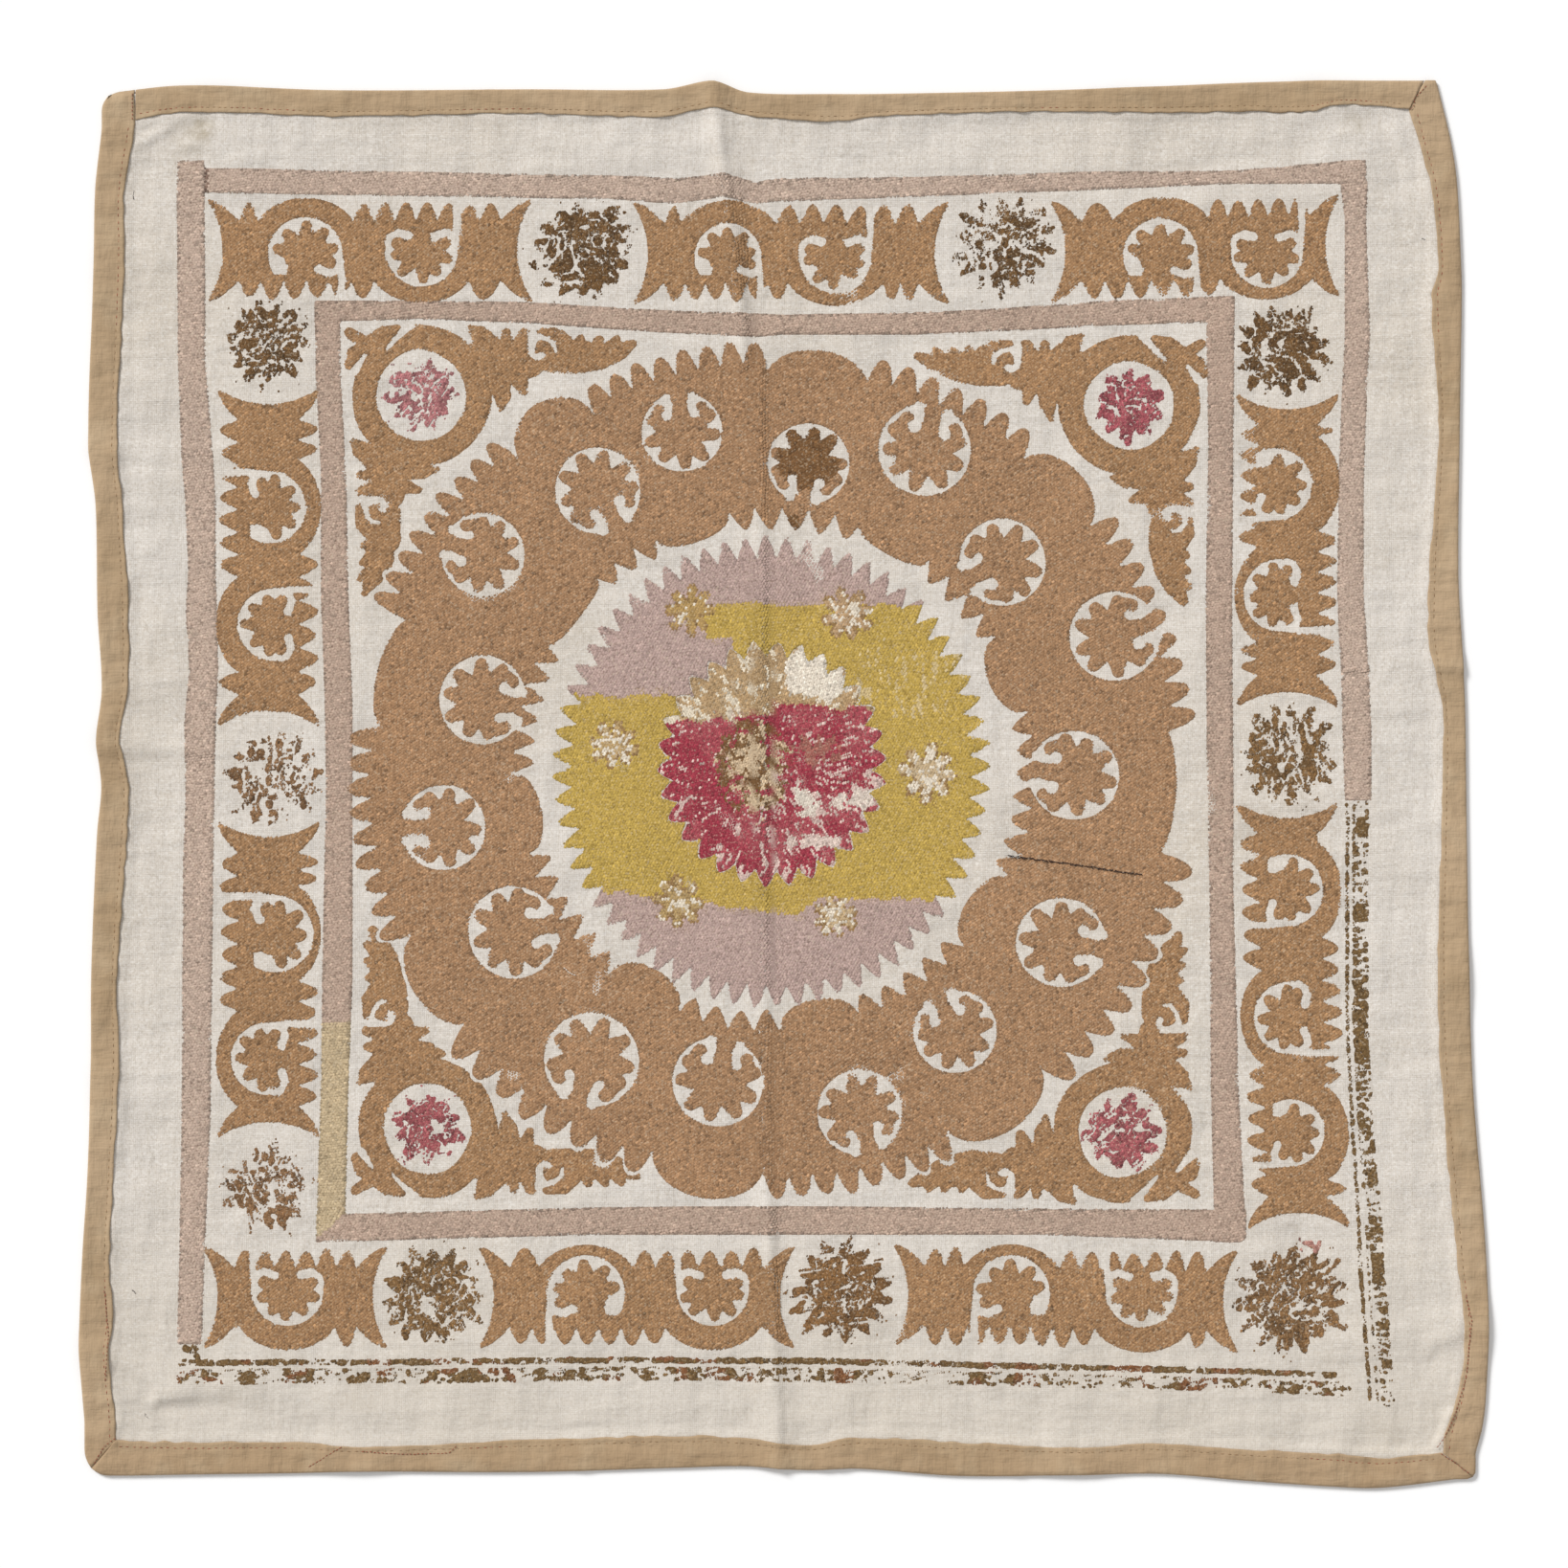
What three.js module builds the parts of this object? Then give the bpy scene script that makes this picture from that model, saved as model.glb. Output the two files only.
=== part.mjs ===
// Embroidered tablecloth, laid out flat: a square linen ground and four folded binding strips.
// Millimetres, +Z up. The origin is under the middle of the cloth, on the surface it lies on.
// X runs to the right and Y to the top, as the cloth is seen from above.

import * as THREE from "three";

// Whole cloth, measured over the widest places of its uneven sides
const CLOTH_WIDTH = 1104;
const CLOTH_HEIGHT = 1102;

// Layers: back leaf of the binding, the linen, front leaf of the binding
const LAYER = 1;
const LAYER_GAP = 0.35;
const LINEN_LIFT = LAYER + LAYER_GAP;
const FRONT_LIFT = 2 * (LAYER + LAYER_GAP);
const EDGE_THICKNESS = FRONT_LIFT + LAYER;

// Binding strips
const BINDING = 23;
const BACK_LEAF = 22;
const FOLD_RADIUS = EDGE_THICKNESS / 2;
const SEAM_GAP = 0.45;
const RIM_IN_FOLD = 3;

// Linen: from the binding's inner edge it comes down to the surface over this distance
const SLOPE_LENGTH = 9;

// How far the unevenness of a side reaches into the cloth
const INSET_HOLD = 30;
const INSET_REACH = 190;
const BAND_REACH = 45;

// Sides. at: distance from the side's middle, to the right or up. inset: how far the edge lies
// inside the widest place of that side. band: width of the binding there.
const TOP = [
  { at: -524, inset: 9.0, band: 26 },
  { at: -470, inset: 3.8, band: 22 },
  { at: -350, inset: 7.5, band: 21 },
  { at: -200, inset: 6.8, band: 19.5 },
  { at: -95, inset: 6.8, band: 22 },
  { at: -56, inset: 0.6, band: 21 },
  { at: -28, inset: 9.2, band: 19 },
  { at: 44, inset: 10.5, band: 22 },
  { at: 75, inset: 10.4, band: 18 },
  { at: 196, inset: 7.9, band: 17 },
  { at: 290, inset: 4.6, band: 21 },
  { at: 361, inset: 1.6, band: 23 },
  { at: 410, inset: 0.3, band: 25 },
  { at: 438, inset: 0.0, band: 19.5 },
  { at: 484, inset: 0.0, band: 23 },
];
const BOTTOM = [
  { at: -510, inset: 9.6, band: 28 },
  { at: -467, inset: 10.4, band: 26 },
  { at: -379, inset: 11.6, band: 24.5 },
  { at: -336, inset: 12.8, band: 20 },
  { at: -200, inset: 12.4, band: 25.5 },
  { at: -81, inset: 15.8, band: 26 },
  { at: -31, inset: 16.9, band: 22.5 },
  { at: 17, inset: 13.9, band: 20 },
  { at: 57, inset: 15.0, band: 25 },
  { at: 136, inset: 9.4, band: 27 },
  { at: 229, inset: 10.1, band: 22.5 },
  { at: 295, inset: 10.9, band: 24 },
  { at: 361, inset: 5.6, band: 25 },
  { at: 427, inset: 1.1, band: 26.5 },
  { at: 466, inset: 0.0, band: 24 },
  { at: 526, inset: 6.8, band: 22 },
];
const LEFT = [
  { at: -512, inset: 4.1, band: 25 },
  { at: -451, inset: 0.0, band: 24.4 },
  { at: -428, inset: 0.0, band: 27 },
  { at: -370, inset: 2.3, band: 22 },
  { at: -305, inset: 6.4, band: 21 },
  { at: -222, inset: 9.0, band: 22.5 },
  { at: -147, inset: 9.4, band: 21 },
  { at: -39, inset: 13.9, band: 24.4 },
  { at: -2, inset: 17.2, band: 22.5 },
  { at: 35, inset: 13.5, band: 19 },
  { at: 75, inset: 17.6, band: 20.5 },
  { at: 135, inset: 14.3, band: 24.8 },
  { at: 218, inset: 12.8, band: 21.4 },
  { at: 268, inset: 7.1, band: 23.3 },
  { at: 405, inset: 11.3, band: 24.7 },
  { at: 471, inset: 12.4, band: 23.6 },
  { at: 525, inset: 17.6, band: 26.5 },
];
const RIGHT = [
  { at: -529, inset: 10.5, band: 27 },
  { at: -510, inset: 5.3, band: 29 },
  { at: -488, inset: 2.6, band: 23.3 },
  { at: -432, inset: 0.4, band: 19 },
  { at: -364, inset: 2.6, band: 24 },
  { at: -239, inset: 12.4, band: 25 },
  { at: -152, inset: 15.4, band: 25.5 },
  { at: -24, inset: 17.6, band: 20 },
  { at: 61, inset: 18.8, band: 18.4 },
  { at: 108, inset: 21.0, band: 26.5 },
  { at: 165, inset: 24.0, band: 23.3 },
  { at: 279, inset: 22.9, band: 17 },
  { at: 382, inset: 21.4, band: 24 },
  { at: 405, inset: 21.8, band: 18.5 },
  { at: 471, inset: 25.1, band: 21.4 },
  { at: 504, inset: 30.0, band: 26.3 },
  { at: 549, inset: 40.9, band: 27 },
];

// Corners. right, top: which corner. radius: its rounding. seam: where the seam between the two
// strips meets the top or bottom edge, measured from the corner; its other end is the inner corner.
const CORNERS = [
  { right: false, top: true, radius: 13, seam: BINDING },
  { right: true, top: true, radius: 2, seam: 8 },
  { right: true, top: false, radius: 7, seam: 0 },
  { right: false, top: false, radius: 17, seam: 0 },
];

// Folds and ripples: soft ridges from one point to another. h: height at that point.
// reach: half the width of the ridge at its foot.
const FOLDS = [
  { name: "centre crease, upper run", x1: -56, y1: 551, h1: 3.2, x2: -26, y2: 330, h2: 1.4, reach: 20 },
  { name: "centre crease, middle run", x1: -26, y1: 330, h1: 1.4, x2: -18, y2: -330, h2: 1.2, reach: 20 },
  { name: "centre crease, lower run", x1: -18, y1: -330, h1: 1.2, x2: -6, y2: -551, h2: 2.6, reach: 20 },
  { name: "second crease at the bottom", x1: 38, y1: -551, h1: 2.2, x2: 40, y2: -440, h2: 0, reach: 18 },
  { name: "fold in the left margin", x1: -552, y1: 34, h1: 3.0, x2: -430, y2: 22, h2: 0, reach: 26 },
  { name: "line in the left margin", x1: -552, y1: 262, h1: 1.8, x2: -420, y2: 258, h2: 0, reach: 18 },
  { name: "line in the right margin", x1: 552, y1: 94, h1: 2.2, x2: 420, y2: 90, h2: 0, reach: 18 },
  { name: "ripple in the right margin", x1: 552, y1: -150, h1: 2.0, x2: 440, y2: -160, h2: 0, reach: 40 },
  { name: "ripple at the lower right", x1: 552, y1: -425, h1: 2.4, x2: 460, y2: -440, h2: 0, reach: 36 },
  { name: "diagonal fold, lower left", x1: -552, y1: -446, h1: 2.4, x2: -490, y2: -482, h2: 2.2, reach: 26 },
  { name: "its run to the right", x1: -490, y1: -482, h1: 2.2, x2: -400, y2: -470, h2: 0, reach: 26 },
  { name: "ripple at the bottom left", x1: -336, y1: -551, h1: 2.0, x2: -330, y2: -450, h2: 0, reach: 40 },
  { name: "ripple at the bottom right", x1: 230, y1: -551, h1: 2.0, x2: 240, y2: -450, h2: 0, reach: 42 },
  { name: "diagonal fold, upper right", x1: 420, y1: 551, h1: 2.4, x2: 452, y2: 450, h2: 0, reach: 38 },
  { name: "ripple at the top right", x1: 268, y1: 551, h1: 1.8, x2: 262, y2: 460, h2: 0, reach: 40 },
  { name: "ripple at the top left", x1: -440, y1: 551, h1: 1.8, x2: -420, y2: 460, h2: 0, reach: 40 },
  { name: "ripple at the upper left", x1: -552, y1: 400, h1: 1.8, x2: -450, y2: 396, h2: 0, reach: 40 },
  { name: "ripple at the lower left", x1: -552, y1: -240, h1: 1.6, x2: -450, y2: -236, h2: 0, reach: 40 },
];

// Mesh of the linen: wide steps, and close ones where creases run across
const WIDE_STEP = 40;
const CLOSE_STEP = 13;
const CLOSE_X = [{ from: -74, to: 56 }];
const CLOSE_Y = [
  { from: -506, to: -441 },
  { from: 8, to: 112 },
  { from: 242, to: 281 },
];

// Looks of the two cloths
const LINEN = { color: 0xdad1c4, roughness: 0.95, metalness: 0 };
const BINDING_COTTON = { color: 0xb49b7b, roughness: 0.9, metalness: 0 };

function fade(distance, from, to) {
  const t = THREE.MathUtils.clamp((distance - from) / (to - from), 0, 1);
  return 1 - t * t * (3 - 2 * t);
}

// A smooth curve through a column of a side's table
function readSide(rows, at, column) {
  const last = rows.length - 1;
  if (at <= rows[0].at) return rows[0][column];
  if (at >= rows[last].at) return rows[last][column];
  let i = 0;
  while (rows[i + 1].at < at) i += 1;
  const slope = (k) => {
    const before = rows[Math.max(k - 1, 0)];
    const after = rows[Math.min(k + 1, last)];
    return (after[column] - before[column]) / (after.at - before.at);
  };
  const span = rows[i + 1].at - rows[i].at;
  const t = (at - rows[i].at) / span;
  const start = rows[i][column] * (1 + 2 * t) * (1 - t) ** 2;
  const end = rows[i + 1][column] * t * t * (3 - 2 * t);
  const bends = slope(i) * t * (1 - t) ** 2 + slope(i + 1) * t * t * (t - 1);
  return start + end + bends * span;
}

// Share of the binding's change in width that a point at this distance from the edge takes
function bandShare(distance) {
  if (distance < BINDING) return distance / BINDING;
  return fade(distance, BINDING, BINDING + BAND_REACH);
}

function sideShift(rows, at, distance) {
  const inset = readSide(rows, at, "inset") * fade(distance, INSET_HOLD, INSET_REACH);
  return inset + (readSide(rows, at, "band") - BINDING) * bandShare(distance);
}

// Rounds the corners of the plain rectangle
function roundCorner(x, y) {
  const corner = CORNERS.find((row) => row.right === x > 0 && row.top === y > 0);
  const { radius } = corner;
  const across = 1 - (CLOTH_WIDTH / 2 - Math.abs(x)) / radius;
  const along = 1 - (CLOTH_HEIGHT / 2 - Math.abs(y)) / radius;
  if (across <= 0 || along <= 0) return [x, y];
  const roundX = across * Math.sqrt(1 - (along * along) / 2);
  const roundY = along * Math.sqrt(1 - (across * across) / 2);
  return [
    Math.sign(x) * (CLOTH_WIDTH / 2 - (1 - roundX) * radius),
    Math.sign(y) * (CLOTH_HEIGHT / 2 - (1 - roundY) * radius),
  ];
}

// From the plain rectangle to the cloth's real, uneven outline
function toCloth(plainX, plainY) {
  const [x, y] = roundCorner(plainX, plainY);
  const fromLeft = sideShift(LEFT, y, x + CLOTH_WIDTH / 2);
  const fromRight = sideShift(RIGHT, y, CLOTH_WIDTH / 2 - x);
  const clothX = x + fromLeft - fromRight;
  const fromBottom = sideShift(BOTTOM, clothX, y + CLOTH_HEIGHT / 2);
  const fromTop = sideShift(TOP, clothX, CLOTH_HEIGHT / 2 - y);
  return [clothX, y + fromBottom - fromTop];
}

// Height of the folds over the surface at a point of the cloth
function foldHeight(x, y) {
  let height = 0;
  for (const fold of FOLDS) {
    const runX = fold.x2 - fold.x1;
    const runY = fold.y2 - fold.y1;
    const along = ((x - fold.x1) * runX + (y - fold.y1) * runY) / (runX * runX + runY * runY);
    const t = THREE.MathUtils.clamp(along, 0, 1);
    const distance = Math.hypot(x - fold.x1 - t * runX, y - fold.y1 - t * runY);
    const crest = THREE.MathUtils.lerp(fold.h1, fold.h2, t);
    height = Math.max(height, crest * fade(distance, 0, fold.reach));
  }
  return height;
}

// How high the linen's underside lies over the back leaf of the binding
function linenLift(x, y) {
  const fromSide = Math.min(CLOTH_WIDTH / 2 - Math.abs(x), CLOTH_HEIGHT / 2 - Math.abs(y));
  return LINEN_LIFT * fade(fromSide, BINDING, BINDING + SLOPE_LENGTH);
}

// Distances from the edge at which the binding's leaves and the linen inside them share points
function sharedDistances() {
  return CORNERS.map((corner) => corner.seam).filter((seam) => seam > 0 && seam < BINDING);
}

// Positions of the mesh lines between the two rims of the plain rectangle
function meshLines(size, closeZones) {
  const slope = [BINDING, BINDING + SLOPE_LENGTH / 2, BINDING + SLOPE_LENGTH];
  const rim = [RIM_IN_FOLD, ...sharedDistances(), ...slope];
  const low = rim.map((distance) => distance - size / 2);
  const high = rim.map((distance) => size / 2 - distance).reverse();
  const inner = [];
  const divide = (from, to, step) => {
    const count = Math.ceil((to - from) / step);
    for (let i = 0; i < count; i += 1) inner.push(from + ((to - from) * i) / count);
  };
  let at = low[low.length - 1];
  for (const zone of closeZones) {
    divide(at, zone.from, WIDE_STEP);
    divide(zone.from, zone.to, CLOSE_STEP);
    at = zone.to;
  }
  divide(at, high[0], WIDE_STEP);
  return [...low, ...inner.slice(1), ...high];
}

const LINES_X = meshLines(CLOTH_WIDTH, CLOSE_X);
const LINES_Y = meshLines(CLOTH_HEIGHT, CLOSE_Y);

function closedMesh(name, vertices, triangles, look) {
  const geometry = new THREE.BufferGeometry();
  geometry.setAttribute("position", new THREE.Float32BufferAttribute(vertices.flat(), 3));
  geometry.setIndex(triangles.flat());
  geometry.computeVertexNormals();
  const mesh = new THREE.Mesh(geometry, new THREE.MeshStandardMaterial(look));
  mesh.name = name;
  return mesh;
}

function buildLinen() {
  const columns = LINES_X.length;
  const rows = LINES_Y.length;
  const vertices = [];
  for (const thickness of [0, LAYER]) {
    for (const lineY of LINES_Y) {
      for (const lineX of LINES_X) {
        const [x, y] = toCloth(lineX, lineY);
        vertices.push([x, y, linenLift(lineX, lineY) + foldHeight(x, y) + thickness]);
      }
    }
  }
  const triangles = [];
  const upper = columns * rows;
  for (let row = 0; row < rows - 1; row += 1) {
    for (let column = 0; column < columns - 1; column += 1) {
      const a = row * columns + column;
      const b = a + 1;
      const c = a + columns;
      const d = c + 1;
      triangles.push([a, c, b], [b, c, d]);
      triangles.push([upper + a, upper + b, upper + c], [upper + b, upper + d, upper + c]);
    }
  }
  const rim = [];
  for (let column = 0; column < columns - 1; column += 1) rim.push(column);
  for (let row = 0; row < rows - 1; row += 1) rim.push(row * columns + columns - 1);
  for (let column = columns - 1; column > 0; column -= 1) rim.push((rows - 1) * columns + column);
  for (let row = rows - 1; row > 0; row -= 1) rim.push(row * columns);
  rim.forEach((a, i) => {
    const b = rim[(i + 1) % rim.length];
    triangles.push([a, b, upper + a], [b, upper + b, upper + a]);
  });
  return closedMesh("ground_cloth", vertices, triangles, LINEN);
}

// Section of a binding strip: distance from the edge and height, once round the folded cloth
function bindingSection() {
  const leaf = sharedDistances();
  const back = [...leaf].reverse();
  const arc = (radius, degrees) => {
    const turn = THREE.MathUtils.degToRad(degrees);
    return [FOLD_RADIUS - radius * Math.cos(turn), FOLD_RADIUS + radius * Math.sin(turn)];
  };
  return [
    [BACK_LEAF, 0],
    ...back.map((distance) => [distance, 0]),
    ...[-90, -45, 0, 45, 90].map((degrees) => arc(FOLD_RADIUS, degrees)),
    ...leaf.map((distance) => [distance, EDGE_THICKNESS]),
    [BINDING, EDGE_THICKNESS],
    [BINDING, FRONT_LIFT],
    ...back.map((distance) => [distance, FRONT_LIFT]),
    ...[90, 0, -90].map((degrees) => arc(FOLD_RADIUS - LAYER, degrees)),
    ...leaf.map((distance) => [distance, LAYER]),
    [BACK_LEAF, LAYER],
  ];
}

// Where a strip ends at one corner, at this distance from its own edge, measured from the corner
function stripEnd(corner, alongX, distance) {
  if (alongX) return corner.seam + ((BINDING - corner.seam) * distance) / BINDING + SEAM_GAP;
  if (distance <= corner.seam) return 0;
  return ((distance - corner.seam) * BINDING) / (BINDING - corner.seam);
}

function buildBinding(name, alongX, positive) {
  const section = bindingSection();
  const size = alongX ? CLOTH_WIDTH : CLOTH_HEIGHT;
  const depth = alongX ? CLOTH_HEIGHT : CLOTH_WIDTH;
  const isMine = (corner) => (alongX ? corner.top : corner.right) === positive;
  const isFar = (corner) => (alongX ? corner.right : corner.top);
  const first = CORNERS.find((corner) => isMine(corner) && !isFar(corner));
  const last = CORNERS.find((corner) => isMine(corner) && isFar(corner));
  const lines = (alongX ? LINES_X : LINES_Y).filter((at) => Math.abs(at) < size / 2 - BINDING - SEAM_GAP);
  const endParts = [0, 0.25, 0.55];
  const stations = [
    ...endParts.map((part) => ({ corner: first, part, sign: -1 })),
    ...lines.map((at) => ({ at })),
    ...endParts.map((part) => ({ corner: last, part, sign: 1 })).reverse(),
  ];
  const place = (station, distance) => {
    if (!station.corner) return station.at;
    const end = stripEnd(station.corner, alongX, distance);
    return station.sign * THREE.MathUtils.lerp(size / 2 - end, lines[lines.length - 1], station.part);
  };
  const vertices = [];
  for (const station of stations) {
    for (const [distance, height] of section) {
      const along = place(station, distance);
      const out = (positive ? 1 : -1) * (depth / 2 - distance);
      const [x, y] = alongX ? toCloth(along, out) : toCloth(out, along);
      vertices.push([x, y, height + foldHeight(x, y)]);
    }
  }
  const count = section.length;
  const flip = alongX === positive;
  const triangles = [];
  const add = (a, b, c) => triangles.push(flip ? [a, c, b] : [a, b, c]);
  for (let i = 0; i < stations.length - 1; i += 1) {
    for (let j = 0; j < count; j += 1) {
      const next = (j + 1) % count;
      const a = i * count + j;
      const b = i * count + next;
      const outwards = section[next][0] < section[j][0];
      if (outwards === positive) {
        add(a, a + count, b);
        add(b, a + count, b + count);
      } else {
        add(a, a + count, b + count);
        add(a, b + count, b);
      }
    }
  }
  const outline = section.map(([distance, height]) => new THREE.Vector2(distance, height));
  const farEnd = (stations.length - 1) * count;
  for (const [a, b, c] of THREE.ShapeUtils.triangulateShape(outline, [])) {
    add(a, c, b);
    add(farEnd + a, farEnd + b, farEnd + c);
  }
  return closedMesh(name, vertices, triangles, BINDING_COTTON);
}

const tablecloth = new THREE.Group();
tablecloth.add(buildLinen());
tablecloth.add(buildBinding("binding_top", true, true));
tablecloth.add(buildBinding("binding_bottom", true, false));
tablecloth.add(buildBinding("binding_left", false, false));
tablecloth.add(buildBinding("binding_right", false, true));

// The uneven sides leave the middle a little off: the origin goes under the middle of the box
const middle = new THREE.Box3().setFromObject(tablecloth).getCenter(new THREE.Vector3());
tablecloth.position.set(-middle.x, -middle.y, 0);

export default tablecloth;
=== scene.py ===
import math

import bpy
import numpy as np
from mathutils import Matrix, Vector, geometry


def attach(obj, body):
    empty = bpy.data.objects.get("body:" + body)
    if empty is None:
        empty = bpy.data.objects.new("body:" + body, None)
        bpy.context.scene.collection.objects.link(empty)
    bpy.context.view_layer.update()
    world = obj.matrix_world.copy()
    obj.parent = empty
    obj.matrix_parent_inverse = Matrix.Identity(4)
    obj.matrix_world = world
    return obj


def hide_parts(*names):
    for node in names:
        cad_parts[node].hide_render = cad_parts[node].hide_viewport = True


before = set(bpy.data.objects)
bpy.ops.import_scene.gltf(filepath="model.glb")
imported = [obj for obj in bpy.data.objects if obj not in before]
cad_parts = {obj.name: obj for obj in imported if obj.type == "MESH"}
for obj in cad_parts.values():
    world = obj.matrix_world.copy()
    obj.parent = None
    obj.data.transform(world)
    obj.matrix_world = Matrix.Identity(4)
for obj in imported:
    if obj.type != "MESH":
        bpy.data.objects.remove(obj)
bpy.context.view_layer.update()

# Embroidered tablecloth: linen ground, folded binding strips, couched embroidery and sewing threads.
# Lengths are millimetres. X runs to the right and Y to the top of the cloth as seen from above.
METRE = 1000.0

# Colours as eight-bit values, turned to linear light
def linear(red, green, blue):
    share = np.array([red, green, blue]) / 255
    return np.where(share <= 0.04045, share / 12.92, ((share + 0.055) / 1.055) ** 2.4)


def table(names, rows):
    """Rows of values as dictionaries with these names."""
    return [dict(zip(names.split(), row)) for row in rows]


# Light on the cloth: key from the upper left, even light from all round
KEY_STRENGTH = 3.0
KEY_SOFTNESS = math.radians(18)
KEY_FROM = Vector((-1.0, 1.0, 0.95))
SKY_STRENGTH = 0.54

# Camera: straight above, its frame 1228.5 mm wide on the cloth
LENS = 100.0
SENSOR = 36.0
VIEW_WIDTH = 1228.5
VIEW_MIDDLE = (0.2, 0.3)
VIEW_END = 50.0

# Whole cloth, measured over the widest places of its uneven sides
CLOTH_WIDTH = 1104.0
CLOTH_HEIGHT = 1102.0

# Layers at the edge: back leaf of the binding, the linen, front leaf of the binding
LAYER = 1.0
LINEN_LIFT = 1.35
BINDING = 23.0
SLOPE_LENGTH = 9.0
RIM_IN_FOLD = 3.0
INSET_HOLD = 30.0
INSET_REACH = 190.0
BAND_REACH = 45.0


def side_table(rows):
    """Columns of a side: at, from its middle to the right or up; inset; width of the binding."""
    at, inset, band = np.array(rows, dtype=float).T
    return {"at": at, "inset": inset, "band": band}


TOP = side_table([
    (-524, 9.0, 26), (-470, 3.8, 22), (-350, 7.5, 21), (-200, 6.8, 19.5), (-95, 6.8, 22),
    (-56, 0.6, 21), (-28, 9.2, 19), (44, 10.5, 22), (75, 10.4, 18), (196, 7.9, 17),
    (290, 4.6, 21), (361, 1.6, 23), (410, 0.3, 25), (438, 0.0, 19.5), (484, 0.0, 23),
])
BOTTOM = side_table([
    (-510, 9.6, 28), (-467, 10.4, 26), (-379, 11.6, 24.5), (-336, 12.8, 20), (-200, 12.4, 25.5),
    (-81, 15.8, 26), (-31, 16.9, 22.5), (17, 13.9, 20), (57, 15.0, 25), (136, 9.4, 27),
    (229, 10.1, 22.5), (295, 10.9, 24), (361, 5.6, 25), (427, 1.1, 26.5), (466, 0.0, 24),
    (526, 6.8, 22),
])
LEFT = side_table([
    (-512, 4.1, 25), (-451, 0.0, 24.4), (-428, 0.0, 27), (-370, 2.3, 22), (-305, 6.4, 21),
    (-222, 9.0, 22.5), (-147, 9.4, 21), (-39, 13.9, 24.4), (-2, 17.2, 22.5), (35, 13.5, 19),
    (75, 17.6, 20.5), (135, 14.3, 24.8), (218, 12.8, 21.4), (268, 7.1, 23.3), (405, 11.3, 24.7),
    (471, 12.4, 23.6), (525, 17.6, 26.5),
])
RIGHT = side_table([
    (-529, 10.5, 27), (-510, 5.3, 29), (-488, 2.6, 23.3), (-432, 0.4, 19), (-364, 2.6, 24),
    (-239, 12.4, 25), (-152, 15.4, 25.5), (-24, 17.6, 20), (61, 18.8, 18.4), (108, 21.0, 26.5),
    (165, 24.0, 23.3), (279, 22.9, 17), (382, 21.4, 24), (405, 21.8, 18.5), (471, 25.1, 21.4),
    (504, 30.0, 26.3), (549, 40.9, 27),
])

# Corners. seam: where the seam of the two strips meets the top or bottom edge, from the corner.
CORNERS = table("right top radius seam", [
    (False, True, 13.0, BINDING), (True, True, 2.0, 8.0), (True, False, 7.0, 0.0), (False, False, 17.0, 0.0),
])

# Folds: x and y of both ends, height at each, and half the width at the foot
FOLDS = [
    (-56, 551, -26, 330, 3.2, 1.4, 20), (-26, 330, -18, -330, 1.4, 1.2, 20),
    (-18, -330, -6, -551, 1.2, 2.6, 20), (38, -551, 40, -440, 2.2, 0, 18),
    (-552, 34, -430, 22, 3.0, 0, 26), (-552, 262, -420, 258, 1.8, 0, 18),
    (552, 94, 420, 90, 2.2, 0, 18), (552, -150, 440, -160, 2.0, 0, 40),
    (552, -425, 460, -440, 2.4, 0, 36), (-552, -446, -490, -482, 2.4, 2.2, 26),
    (-490, -482, -400, -470, 2.2, 0, 26), (-336, -551, -330, -450, 2.0, 0, 40),
    (230, -551, 240, -450, 2.0, 0, 42), (420, 551, 452, 450, 2.4, 0, 38),
    (268, 551, 262, 460, 1.8, 0, 40), (-440, 551, -420, 460, 1.8, 0, 40),
    (-552, 400, -450, 396, 1.8, 0, 40), (-552, -240, -450, -236, 1.6, 0, 40),
]

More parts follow.
